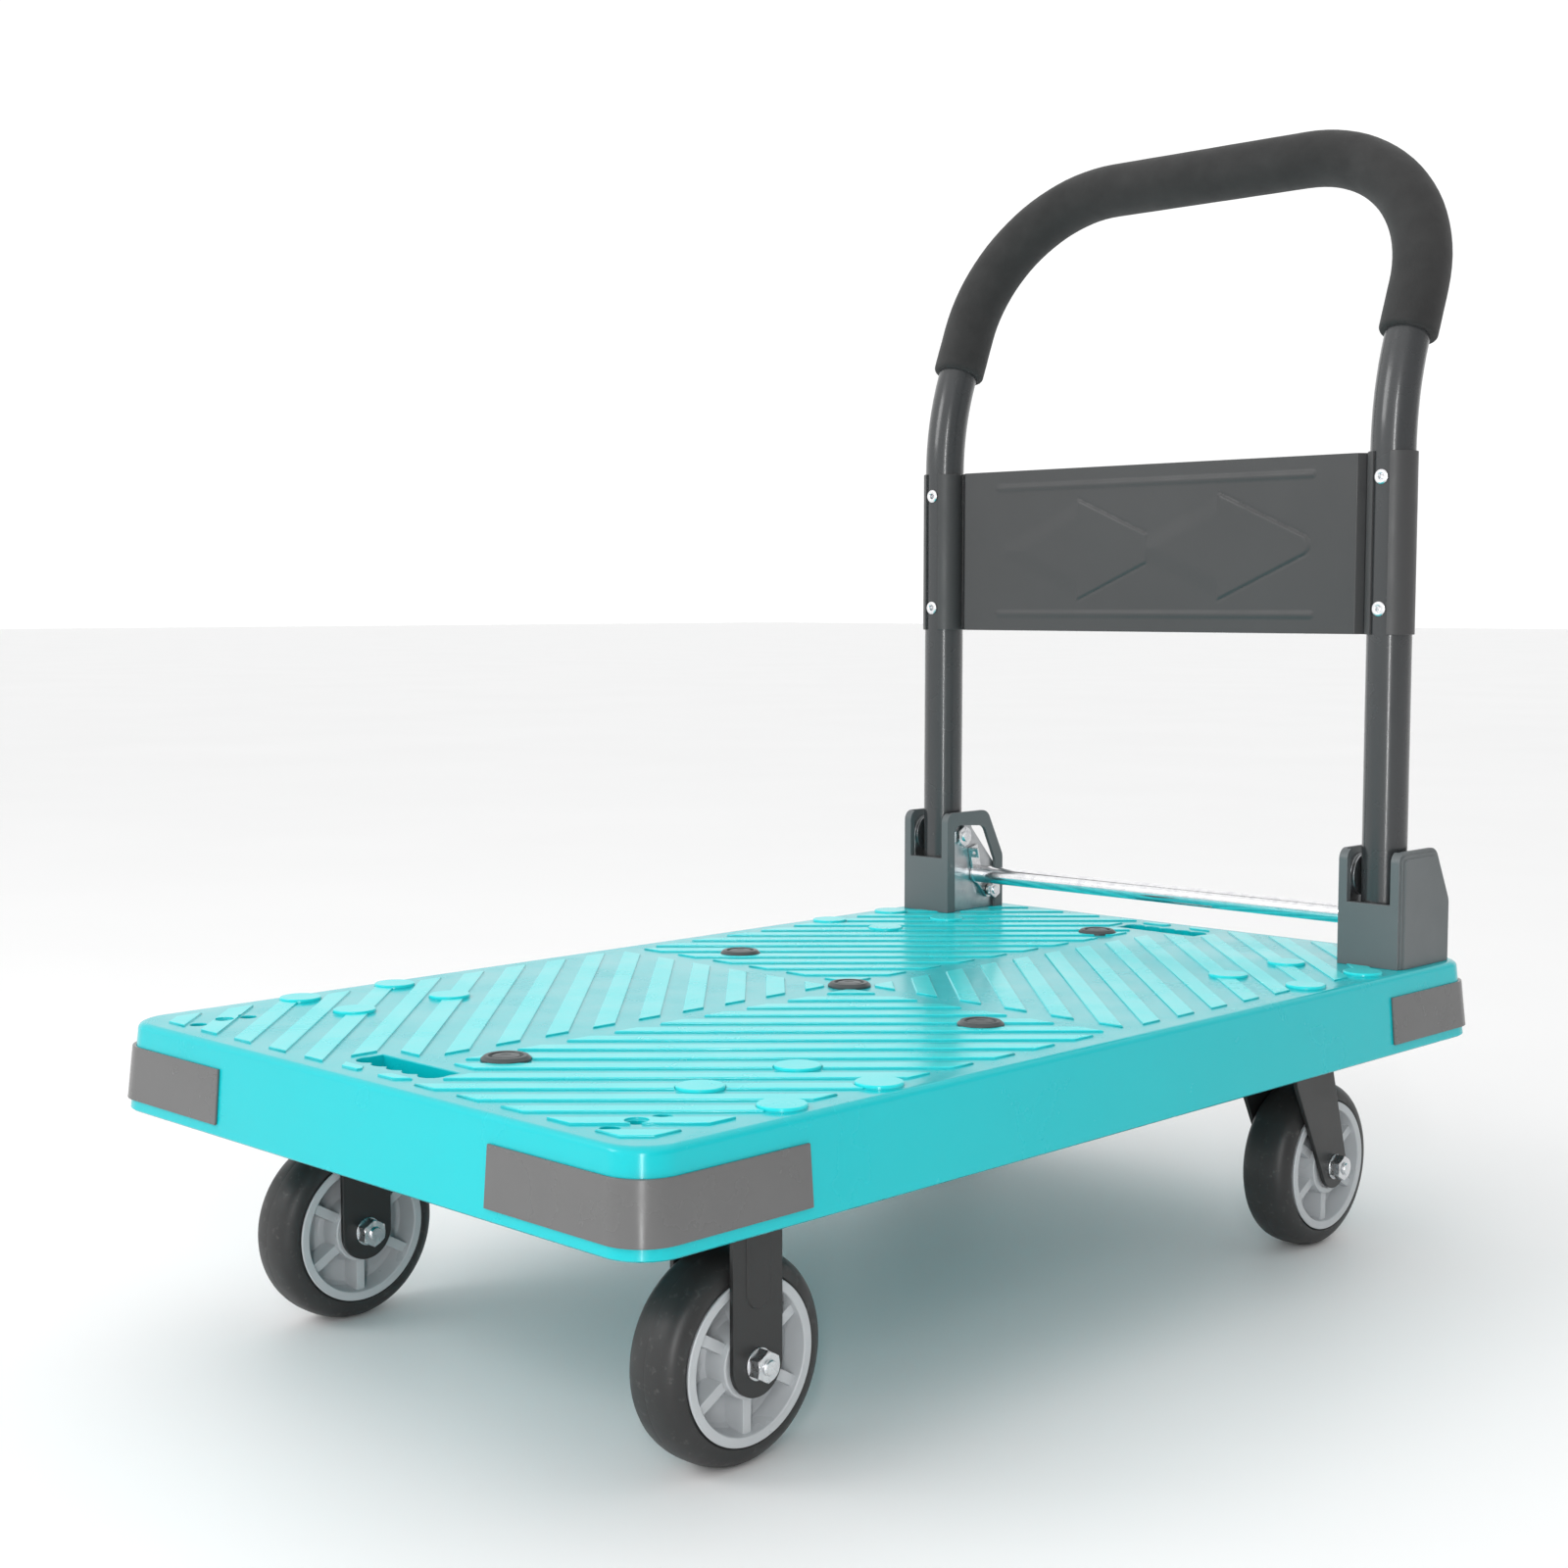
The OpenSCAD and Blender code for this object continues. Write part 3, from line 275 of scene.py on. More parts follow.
FINISHES = {
    "deck_plastic": deck_plastic(),
    "plug_plastic": moulded("plug_plastic", (0.045, 0.056, 0.058), 0.38, 0.02),
    "bumper_plastic": moulded("bumper_plastic", grey(0.120), 0.24, 0.006),
    "cover_plastic": moulded("cover_plastic", (0.110, 0.124, 0.128), 0.42, 0.025),
    "bracket_steel": plated("bracket_steel", (0.50, 0.51, 0.52), 0.34, (1, 1, 8)),
    "zinc_fastener": plated("zinc_fastener", (0.74, 0.75, 0.76), 0.26),
    "bar_chrome": plated("bar_chrome", (0.86, 0.86, 0.87), 0.12, (14, 1, 1)),
    "arm_steel": plated("arm_steel", (0.70, 0.71, 0.72), 0.28, (1, 1, 5)),
    "spring_steel": plated("spring_steel", (0.42, 0.41, 0.40), 0.32, warm=0.04),
    "sleeve_steel": plated("sleeve_steel", (0.50, 0.48, 0.44), 0.30, (1, 8, 8)),
    "fork_paint": painted("fork_paint", grey(0.020), 0.34, 0.035),
    "tube_paint": painted("tube_paint", (0.033, 0.035, 0.037), 0.24, 0.010, coat=0.35),
    "cap_plastic": moulded("cap_plastic", grey(0.020), 0.50, 0.02),
    "foam": foam_material(),
    "panel_paint": painted("panel_paint", (0.046, 0.046, 0.047), 0.42, 0.020),
    "rivet_aluminium": plated("rivet_aluminium", (0.86, 0.86, 0.87), 0.28),
    "tyre_rubber": tyre_material(),
    "rim_plastic": moulded("rim_plastic", (0.47, 0.49, 0.505), 0.32, 0.015),
}


# ---------- making pieces ----------
MADE = set()


def finish_piece(piece, node, smooth_angle=35):
    """Puts a made piece where its CAD node is: same body, same slot, and its material."""
    slot = SLOT_OF[node]
    piece.data.materials.clear()
    piece.data.materials.append(FINISHES[slot].material)
    for face in piece.data.polygons:
        face.use_smooth = True
    piece.data.set_sharp_from_angle(angle=math.radians(smooth_angle))
    weighted = piece.modifiers.new("weighted_normals", "WEIGHTED_NORMAL")
    weighted.keep_sharp = True
    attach(piece, BODY_OF[node])
    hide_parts(node)
    MADE.add(node)
    return piece


def new_piece(name, bm, turn=True):
    """An object of its own from a bmesh, with its faces turned outward."""
    data = bpy.data.meshes.new(name)
    if turn:
        bmesh.ops.recalc_face_normals(bm, faces=bm.faces)
    bm.to_mesh(data)
    bm.free()
    piece = bpy.data.objects.new(name, data)
    bpy.context.scene.collection.objects.link(piece)
    return piece


def refined(node, width):
    """A copy of a CAD node's mesh, its sharp edges rounded to that width in mm, or only smoothed at 0."""
    bm = bmesh.new()
    bm.from_mesh(frame["nodes"][node].data)
    bmesh.ops.remove_doubles(bm, verts=bm.verts, dist=WELD)
    bmesh.ops.dissolve_degenerate(bm, edges=bm.edges, dist=WELD)
    bmesh.ops.dissolve_limit(bm, angle_limit=math.radians(0.6), verts=bm.verts, edges=bm.edges)
    limit = math.radians(30)
    sharp = [e for e in bm.edges if width and len(e.link_faces) == 2 and e.calc_face_angle() > limit]
    bmesh.ops.bevel(bm, geom=sharp, offset=width * MM, offset_type="OFFSET", segments=2, profile=0.5,
                    affect="EDGES", clamp_overlap=False, miter_outer="ARC")
    return finish_piece(new_piece(node + "_shape", bm), node)


def join_rows(bm, a, b, closed=False):
    """A strip of faces between two rows of points."""
    for i in range(len(a) if closed else len(a) - 1):
        j = (i + 1) % len(a)
        bm.faces.new((a[i], a[j], b[j], b[i]))


def lathe(profile, steps):
    """A bmesh turned round X from (x, radius) points, closed if the profile doesn't start on the axis."""
    bm = bmesh.new()
    rings = []
    for x, r in profile:
        if r < 1e-7:
            rings.append([bm.verts.new((x, 0, 0))])
        else:
            rings.append([bm.verts.new((x, r * math.cos(a), r * math.sin(a)))
                          for a in (2 * math.pi * i / steps for i in range(steps))])
    closed = len(rings[0]) > 1
    for a, b in zip(rings, rings[1:] + (rings[:1] if closed else [])):
        for i in range(steps):
            j = (i + 1) % steps
            corners = [a[i % len(a)], a[j % len(a)], b[j % len(b)], b[i % len(b)]]
            corners = [v for n, v in enumerate(corners) if v not in corners[:n]]
            if len(corners) > 2:
                bm.faces.new(corners)
    return bm


def rounded(points, steps=3):
    """A closed outline whose points may each carry a corner radius as a third number."""
    out = []
    for i, point in enumerate(points):
        here = Vector(point[:2])
        before = Vector(points[i - 1][:2]) - here
        after = Vector(points[(i + 1) % len(points)][:2]) - here
        r = point[2] if len(point) > 2 else 0.0
        turn = before.angle(after)
        if r <= 0 or turn > math.radians(176):
            out.append(tuple(here))
            continue
        cut = min(r / math.tan(turn / 2), before.length * 0.49, after.length * 0.49)
        r = cut * math.tan(turn / 2)
        middle_way = (before.normalized() + after.normalized()).normalized()
        centre = here + middle_way * (r / math.sin(turn / 2))
        start = here + before.normalized() * cut - centre
        end = here + after.normalized() * cut - centre
        sweep = start.angle_signed(end)
        for k in range(steps + 1):
            a = -sweep * k / steps
            out.append((centre.x + start.x * math.cos(a) - start.y * math.sin(a),
                        centre.y + start.x * math.sin(a) + start.y * math.cos(a)))
    return out


def sweep_tube(bm, path, radius, steps, side):
    """A rod added to bm along path, whose rows are centre, unit tangent and radius factor, with flat ends."""
    rings = []
    for centre, tangent, factor in path:
        u = (side - tangent * side.dot(tangent)).normalized()
        w = tangent.cross(u)
        rings.append([bm.verts.new(centre + (u * math.cos(a) + w * math.sin(a)) * radius * factor)
                      for a in (2 * math.pi * i / steps for i in range(steps))])
    for a, b in zip(rings, rings[1:]):
        join_rows(bm, a, b, closed=True)
    bm.faces.new(rings[0])
    bm.faces.new(rings[-1])


# ---------- the pieces ----------
# the grip's end: how far in from its mouth, in mm, and what part of its radius it has there
MOUTH = ((0.0, 0.80), (0.0, 0.925), (0.7, 0.965), (1.8, 0.99), (3.2, 0.997))


def foam_grip():
    """The grip follows the tube's loop, a little soft and uneven, with rounded mouths at its ends."""
    radius = 23 * MM
    corner = 130 * MM
    lean = math.radians(21.5)
    unevenness = 0.0025
    straight_rows, corner_rows, top_rows = 9, 24, 24
    # the loop's plane leans back, so up is the way its legs run
    up = Vector((0, math.sin(lean), math.cos(lean)))
    leg_top = Vector((-LEG_X, GRIP_HIGH.y - radius, GRIP_HIGH.z - radius))
    leg_length = (leg_top.z - GRIP_LOW.z - radius * math.sin(lean)) / math.cos(lean)
    left = []
    for i in range(straight_rows):
        left.append((leg_top - up * (leg_length - (leg_length - corner) * i / straight_rows), up))
    bend = leg_top + Vector((corner, 0, 0)) - up * corner
    for i in range(corner_rows + 1):
        a = math.pi / 2 * i / corner_rows
        left.append((bend + Vector((-math.cos(a) * corner, 0, 0)) + up * (math.sin(a) * corner),
                     Vector((math.sin(a), 0, 0)) + up * math.cos(a)))
    half = LEG_X - corner
    across = [(Vector((half * (2 * i / top_rows - 1), leg_top.y, leg_top.z)), Vector((1, 0, 0)))
              for i in range(1, top_rows)]
    right = [(Vector((-c.x, c.y, c.z)), Vector((t.x, -t.y, -t.z))) for c, t in reversed(left)]
    first, *between, last = left + across + right
    path = [(first[0] + first[1] * (depth * MM), first[1], part) for depth, part in MOUTH]
    for n, (centre, tangent) in enumerate(between):
        wave = math.sin(n * 0.9) * math.sin(n * 0.37)
        path.append((centre, tangent, 1 - unevenness + unevenness * wave))
    path += [(last[0] - last[1] * (depth * MM), last[1], part) for depth, part in reversed(MOUTH)]
    bm = bmesh.new()
    sweep_tube(bm, path, radius, 48, Vector((0, 1, 0)))
    piece = finish_piece(new_piece("foam_grip_shape", bm), "foam_grip")
    return piece


# half of a tyre's tread: how far from its middle plane, and how far below its crown, in mm
TREAD = ((0.0, 0.10), (0.25, 0.10), (0.45, 0.0), (2.5, 0.0), (5.0, 0.10), (8.0, 0.45), (11.0, 1.05),
         (13.5, 1.9), (15.6, 3.1), (17.4, 4.7), (18.8, 6.6), (19.8, 8.8), (20.3, 10.6), (20.5, 12.2))
# the lip on its sidewall: how far in from its side, and how far out from its rim, in mm
LIP = ((0.0, 1.4), (0.3, 0.9), (0.9, 0.4), (1.4, -0.4), (2.0, -1.5))


def tyre(node):
    """A solid rubber tyre: domed tread with a mould line, shoulders, and a lip on each sidewall."""
    low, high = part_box(node)
    half = (high.x - low.x) / 2
    r = (high.z - low.z) / 2
    rim = r - 14.5 * MM
    profile = [(x * MM, r - down * MM) for x, down in TREAD]
    profile += [(half - x * MM, rim + out * MM) for x, out in LIP]
    outline = [(-x, q) for x, q in profile[:0:-1]] + profile
    bm = lathe(outline, 128)
    bmesh.ops.translate(bm, vec=middle(node), verts=bm.verts)
    return finish_piece(new_piece(node + "_shape", bm), node, 50)


def box_bar(bm, low, high, turn, bevel):
    """A beveled bar added to bm, from low to high, turned by a matrix."""
    made = bmesh.ops.create_cube(bm, size=1.0)
    size = Vector(high) - Vector(low)
    place = Matrix.Translation((Vector(low) + Vector(high)) / 2) @ Matrix.Diagonal((*size, 1))
    bmesh.ops.transform(bm, matrix=turn @ place, verts=made["verts"])
    edges = {e for v in made["verts"] for e in v.link_edges}
    bmesh.ops.bevel(bm, geom=list(edges), offset=bevel, segments=2, profile=0.5, affect="EDGES")


def wheel_centre(node):
    """Rim ring, web, spokes and hub of a moulded wheel centre, with rounded edges."""
    low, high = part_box(node)
    h = (high.x - low.x) / 2 / MM            # half its width
    r = (high.z - low.z) / 2 / MM
    seat, rim, hub, bore, web, dish = r - 1.7, r - 6.5, 22, 8.1, 3, h - 1.6
    # half of the section in mm, each point with its corner's radius
    tyre_seat = [(0, seat, 0), (18.5, seat, 0), (h - 0.9, r - 0.1, 0.4)]
    rim_ring = [(h, r - 0.8, 0.5), (h, rim + 0.6, 0.8), (h - 0.8, rim, 0.5), (6, rim - 1.6, 1.5)]
    web_face = [(web, rim - 4, 1.5), (web, hub + 3, 1.5), (6, hub + 0.6, 1.5)]
    hub_face = [(h - 0.5, hub, 0.8), (h, hub - 0.8, 0.5), (h, hub - 4.2, 0.5), (dish, hub - 5, 0.4)]
    bearing = [(dish, bore + 1.6, 0.3), (h - 0.2, bore + 1.2, 0.3), (h - 0.2, bore, 0)]
    half = tyre_seat + rim_ring + web_face + hub_face + bearing
    outline = half + [(-x, q, k) for x, q, k in half[:0:-1]]
    bm = lathe(rounded(in_mm(outline)), 128)
    spokes, spoke_half = 6, 3.5
    for i in range(spokes):
        turn = Matrix.Rotation(2 * math.pi * i / spokes, 4, "X")
        for side in (-1, 1):
            near, far = sorted((side * (web - 0.4), side * (h - 4)))
            box_bar(bm, mm(near, -spoke_half, hub - 1.5), mm(far, spoke_half, rim + 0.6), turn, 0.8 * MM)
    bmesh.ops.translate(bm, vec=middle(node), verts=bm.verts)
    return finish_piece(new_piece(node + "_shape", bm), node)


def hex_bar(bm, start, end, bore):
    """A hexagon bar along X added to bm, with a turned chamfer at its end."""
    steps = 120
    apothem = HEX_FLATS / 2
    circle = apothem * 1.005
    slope = math.tan(math.radians(30))
    direction = 1 if end > start else -1
    rings = []
    for i in range(steps):
        a = 2 * math.pi * i / steps
        corner = apothem / math.cos((a + math.pi / 6) % (math.pi / 3) - math.pi / 6)
        shoulder = end - direction * ((corner - circle) * slope + 0.1 * MM)
        section = [(start, bore), (start, corner), (shoulder, corner), (end, circle), (end, bore)]
        rings.append([bm.verts.new((x, q * math.cos(a), q * math.sin(a))) for x, q in section])
    for i in range(steps):
        join_rows(bm, rings[i], rings[(i + 1) % steps], closed=True)


def thread(bm, start, end):
    """A threaded end of a bolt along X added to bm: a helical ridge on a core, with a chamfered tip."""
    pitch, per_turn, steps = 1.25 * MM, 8, 48
    groove, taper, tip_drop = 0.55 * pitch, 1.2 * pitch, 0.7 * pitch
    direction = 1 if end > start else -1
    length = abs(end - start)
    rows = max(2, int(length / pitch * per_turn))
    grid = []
    for k in range(rows + 1):
        x = length * k / rows
        tip = max(0.0, 1 - (length - x) / taper) * tip_drop
        ring = []
        for i in range(steps):
            a = 2 * math.pi * i / steps
            phase = (x / pitch - i / steps) % 1
            q = SHANK_R - max(groove * abs(2 * phase - 1), tip)
            ring.append(bm.verts.new((start + direction * x, q * math.cos(a), q * math.sin(a))))
        grid.append(ring)
    for a, b in zip(grid, grid[1:]):
        join_rows(bm, a, b, closed=True)
    bm.faces.new(grid[0])
    bm.faces.new(grid[-1])


def merge_lathe(bm, profile, steps=64):
    """Adds a closed turned shape to bm."""
    other = lathe(profile, steps)
    data = bpy.data.meshes.new("turned")
    other.to_mesh(data)
    other.free()
    bm.from_mesh(data)
    bpy.data.meshes.remove(data)


def shank(bm, start, end):
    """A bolt's plain round shank along X, added to bm."""
    merge_lathe(bm, [(start, 0), (start, SHANK_R), (end, SHANK_R), (end, 0)])


def axle(node):
    """Axle bolt: shank, two washers, a chamfered nut with its threaded end, and a bolt head."""
    fork_out, washer_r, nut, tip, head = mm(27.1, 9.8, 8, 10, 6.5)
    face = fork_out + 1 * MM
    bm = bmesh.new()
    shank(bm, -face - 1 * MM, face)
    for s in (-1, 1):
        merge_lathe(bm, rounded([(s * fork_out, SHANK_R), (s * fork_out, washer_r, 0.3 * MM),
                                 (s * face, washer_r, 0.4 * MM), (s * face, SHANK_R)]))
    hex_bar(bm, face, face + nut, NUT_BORE_R)
    thread(bm, face + 1 * MM, face + tip)
    hex_bar(bm, -face, -face - head, 0.5 * MM)
    # the head's outer face has a shallow turned dish
    dish = -face - head + 0.3 * MM
    merge_lathe(bm, [(dish, 0), (dish, 5.6 * MM), (dish + 0.9 * MM, 6.4 * MM), (-face - 2 * MM, 0)])
    place = middle(node)
    place.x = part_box(node)[1].x - face - tip
    bmesh.ops.translate(bm, vec=place, verts=bm.verts)
    return finish_piece(new_piece(node + "_shape", bm), node)


def pivot_bolt(side, s):
    """Pivot bolt: chamfered nut and threaded end inboard, domed head outboard."""
    node = f"pivot_bolt_{side}"
    ear, nut, head, head_r, dome_r = mm(22.6, 5, 3, 8.4, 7)
    bm = bmesh.new()
    shank(bm, -ear - 1 * MM, ear)
    dome = [(ear, 0), (ear, head_r, 0.3 * MM), (ear + head, dome_r, 2.4 * MM), (ear + head, 0)]
    merge_lathe(bm, rounded(dome, steps=6))
    hex_bar(bm, -ear, -ear - nut, NUT_BORE_R)
    thread(bm, -ear - 1 * MM, -ear - nut - 2 * MM)
    place = Matrix.Translation((s * LEG_X, PIVOT.y, PIVOT.z)) @ Matrix.Diagonal((s, 1, 1, 1))
    bmesh.ops.transform(bm, matrix=place, verts=bm.verts)
    return finish_piece(new_piece(node + "_shape", bm), node)


def turned(bm, profiles, axis, angle, place, steps):
    """Adds shapes turned round X to bm, then turns them about an axis and moves them to their place."""
    start = len(bm.verts)
    for profile in profiles:
        merge_lathe(bm, profile, steps)
    bm.verts.ensure_lookup_table()
    made = bm.verts[start:]
    bmesh.ops.rotate(bm, cent=(0, 0, 0), matrix=Matrix.Rotation(angle, 3, axis), verts=made)
    bmesh.ops.translate(bm, vec=place, verts=made)


def deck_plugs():
    """Five plugs: rounded rim, ring groove and a low domed middle with a small dimple."""
    r = 16
    # height above the deck and distance from the plug's axis in mm, with the corner's radius
    stem = [(-10, 0), (-10, 6, 1), (0, 6)]
    brim = [(0, r, 0.2), (1.6, r, 0.8), (3.55, r - 2.4, 1.4), (3.55, r - 4.8, 0.6)]
    groove = [(2.2, r - 5.4, 0.5), (2.2, r - 6.6, 0.5), (3.2, r - 7.4, 0.8)]
    dome = [(3.5, 4.2, 1), (3.1, 2.4, 1), (3, 0)]
    profile = rounded(in_mm(stem + brim + groove + dome), steps=4)
    bm = bmesh.new()
    for x, y in plug_points():
        turned(bm, [profile], "Y", -math.pi / 2, (x, y, TOP), 64)
    return finish_piece(new_piece("deck_plugs_shape", bm), "deck_plugs")


def islands(faces):
    """Groups of faces joined by edges."""
    left = set(faces)
    groups = []
    for first in faces:
        if first not in left:
            continue
        left.remove(first)
        todo, group = [first], []
        while todo:
            face = todo.pop()
            group.append(face)
            for edge in face.edges:
                for other in edge.link_faces:
                    if other in left:
                        left.remove(other)
                        todo.append(other)
        groups.append(group)
    return groups


def outlines_of(group):
    """The outlines of a flat group of faces, each with the faces on its left, as corner points only."""
    inside = set(group)
    follow = {}
    for face in group:
        for loop in face.loops:
            if not any(other in inside for other in loop.edge.link_faces if other is not face):
                follow[loop.vert] = loop.link_loop_next.vert
    rings = []
    while follow:
        vert = next(iter(follow))
        ring = []
        while vert in follow:
            ring.append(Vector((vert.co.x, vert.co.y)))
            vert = follow.pop(vert)
        kept = []
        for i, point in enumerate(ring):
            a, b = point - ring[i - 1], ring[(i + 1) % len(ring)] - point
            if abs(a.x * b.y - a.y * b.x) > 1e-4 * a.length * b.length + 1e-12:
                kept.append(point)
        rings.append(kept)
    return rings


def inset(ring, by):
    """The outline moved in by that much, with mitred corners."""
    moved = []
    for i, point in enumerate(ring):
        a = (point - ring[i - 1]).normalized()
        b = (ring[(i + 1) % len(ring)] - point).normalized()
        n, m = Vector((-a.y, a.x)), Vector((-b.y, b.x))
        way = n + m
        moved.append(point + way * (by / max(0.35, way.dot(n))))
    return moved


def narrow(ring, width):
    """Whether the outline comes that close to itself, apart from neighbouring points."""
    n = len(ring)
    for i, point in enumerate(ring):
        for k in range(3, n - 3):
            a, b = ring[(i + k) % n], ring[(i + k + 1) % n]
            along = b - a
            t = min(1.0, max(0.0, (point - a).dot(along) / max(along.length_squared, 1e-18)))
            if (a + along * t - point).length < width:
                return True
    return False


def raised_shape(bm, rings, height, soft):
    """A moulded bar or pad on the deck's top: a small fillet at its foot and a rounded top edge."""
    area = sum(r[i - 1].x * r[i].y - r[i].x * r[i - 1].y for r in rings for i in range(len(r))) / 2
    girth = sum((r[i] - r[i - 1]).length for r in rings for i in range(len(r)))
    soft = min(soft, area / girth * 0.9)
    if any(narrow(ring, 2 * soft) for ring in rings):
        soft = 0.02 * MM
    # rows of the edge: how far in from the outline, and how high over the deck
    foot, edge_steps = 0.45 * MM, 4
    levels = [(-foot, -0.03 * MM), (-foot * 0.5, 0.05 * MM), (-foot * 0.12, 0.25 * MM)]
    for k in range(edge_steps + 1):
        a = math.pi / 2 * k / edge_steps
        levels.append((soft * (1 - math.cos(a)), height - soft + soft * math.sin(a)))
    brims = []
    for ring in rings:
        rows = [[bm.verts.new((p.x, p.y, TOP + z)) for p in inset(ring, by)] for by, z in levels]
        for a, b in zip(rows, rows[1:]):
            join_rows(bm, a, b, closed=True)
        brims.append(rows[-1])
    if len(brims) == 1:
        bm.faces.new(brims[0])
        return
    edges = [bm.edges.get((brim[i - 1], brim[i])) for brim in brims for i in range(len(brim))]
    cap = bmesh.ops.triangle_fill(bm, use_beauty=True, edges=edges, normal=(0, 0, 1))
    for face in cap["geom"]:
        if isinstance(face, bmesh.types.BMFace):
            face.normal_update()
            if face.normal.z < 0:
                face.normal_flip()


def plan_key(vert):
    """A vertex's place in plan, to the nearest micrometre."""
    return tuple(round(c * 1e6) for c in vert.co.xy)


def round_rims(bm, radius):
    """Rounds each opening's rim: its wall ends lower, the top ends further out, and a fillet joins them."""
    rims = [e for e in bm.edges if len(e.link_faces) == 2 and all(abs(v.co.z - TOP) < NEAR for v in e.verts)
            and e.calc_face_angle() > math.radians(60)]
    ways, runs = {}, []
    for edge in rims:
        top = next((f for f in edge.link_faces if f.normal.z > 0.9), None)
        if top is None:
            continue
        loop = next(lp for lp in top.loops if lp.edge is edge)
        ends = (loop.vert, loop.link_loop_next.vert)
        along = (ends[1].co - ends[0].co).normalized()
        inward = Vector((-along.y, along.x))
        runs.append([plan_key(vert) for vert in ends])
        for vert in ends:
            ways.setdefault(plan_key(vert), (vert.co.copy(), []))[1].append(inward)
    columns = {}
    for key, (point, sides) in ways.items():
        way = sides[0] + sides[-1]
        columns[key] = (point, way / max(0.4, way.dot(sides[0])))
    bmesh.ops.split_edges(bm, edges=rims)
    for vert in bm.verts:
        key = plan_key(vert)
        if key not in columns or abs(vert.co.z - TOP) > NEAR:
            continue
        way = columns[key][1]
        if all(f.normal.z > 0.9 for f in vert.link_faces):
            vert.co += Vector((way.x * radius, way.y * radius, 0))
        else:
            vert.co.z -= radius
    steps = 4
    fillet = {}
    for key, (point, way) in columns.items():
        fillet[key] = []
        for k in range(steps + 1):
            a = math.pi / 2 * k / steps
            out = radius * (1 - math.cos(a))
            fillet[key].append(bm.verts.new((point.x + way.x * out, point.y + way.y * out,
                                             TOP - radius + radius * math.sin(a))))
    for a, b in runs:
        join_rows(bm, fillet[b], fillet[a])


def levels_of(face):
    """The lowest and highest z of a face, from the deck's plain top."""
    z = [v.co.z for v in face.verts]
    return min(z) - TOP, max(z) - TOP


def deck():
    """The CAD deck with its raised bars and pads remade with soft edges, and rounded rims on its openings."""
    bm = bmesh.new()
    bm.from_mesh(frame["nodes"]["deck"].data)
    bmesh.ops.remove_doubles(bm, verts=bm.verts, dist=WELD)
    levels = {f: levels_of(f) for f in bm.faces}
    above = [f for f in bm.faces if levels[f][0] > -NEAR and levels[f][1] > NEAR]
    tops = [f for f in above if f.normal.z > 0.999 and levels[f][1] - levels[f][0] < NEAR]
    shapes = [(outlines_of(group), group[0].verts[0].co.z - TOP) for group in islands(tops)]
    bmesh.ops.delete(bm, geom=above, context="FACES")
    plain = [f for f in bm.faces if max(abs(v.co.z - TOP) for v in f.verts) < NEAR]
    flat = set(plain)
    inner = [e for e in bm.edges if len(e.link_faces) == 2 and flat.issuperset(e.link_faces)]
    bmesh.ops.beautify_fill(bm, faces=plain, edges=inner, method="ANGLE")
    round_rims(bm, 0.8 * MM)
    pad_height = 1.8 * MM
    for rings, height in shapes:
        raised_shape(bm, rings, height, 0.9 * MM if height > pad_height else 0.7 * MM)
    bmesh.ops.remove_doubles(bm, verts=bm.verts, dist=WELD / 2)
    return finish_piece(new_piece("deck_shape", bm, turn=False), "deck")


def plug_points():
    """The plugs' centres in plan: the middle of each group of points in their CAD mesh that lie close."""
    reach = 40 * MM
    groups = []
    for vert in frame["nodes"]["deck_plugs"].data.vertices:
        point = vert.co.xy
        group = next((g for g in groups if (g[0] - point).length < reach), None)
        if group:
            group.append(point)
        else:
            groups.append([point])
    return [[(min(p[k] for p in g) + max(p[k] for p in g)) / 2 for k in (0, 1)] for g in groups]


def smooth_step(x, low, high):
    """From 0 at low to 1 at high, level at both ends."""
    t = min(1.0, max(0.0, (x - low) / (high - low)))
    return t * t * (3 - 2 * t)


def panel_height(x, z, half_h):
    """How far the pressed shapes stand out from the panel's flat at a point of it, in metres."""
    rise = 0.9 * MM
    ax, az = abs(x), abs(z)
    rib_end, rib_half, rib_up = 160.5 * MM, 2.7 * MM, half_h - 15 * MM
    away = math.hypot(max(0.0, ax - rib_end), az - rib_up)
    rib = 1 - smooth_step(away, rib_half - 1.4 * MM, rib_half + 0.6 * MM)
    # the pressed field: distance outside its outline, two joined lozenges with rounded tips
    peak_x, peak, waist, tip_x, tip_r = mm(72, 43, 12, 150, 8)
    climb = (peak - waist) / peak_x
    inner_gap = (az - (waist + climb * ax)) * math.cos(math.atan(climb))
    slope = math.radians(24)
    outer_gap = (ax - tip_x) * math.sin(slope) + az * math.cos(slope) - tip_r
    if (ax - tip_x) * math.cos(slope) - az * math.sin(slope) > 0:
        outer_gap = math.hypot(ax - tip_x, az) - tip_r
    gap = max(inner_gap, outer_gap) if ax < peak_x else outer_gap
    # the sides that face right fall steeply and have a fine crease at their foot; the others fade out
    faces_right = (x > 0) == (ax > peak_x)
    soft = 0.7 * MM if faces_right else 9 * MM
    field = 1 - smooth_step(gap, -2 * soft + 0.9 * MM, 0.9 * MM)
    crease = 0.0
    if faces_right and ax < tip_x + 9 * MM:
        crease = math.exp(-((gap - 1.2 * MM) / (0.75 * MM)) ** 2) * 0.5 * MM
    return rise * max(rib, field) - crease


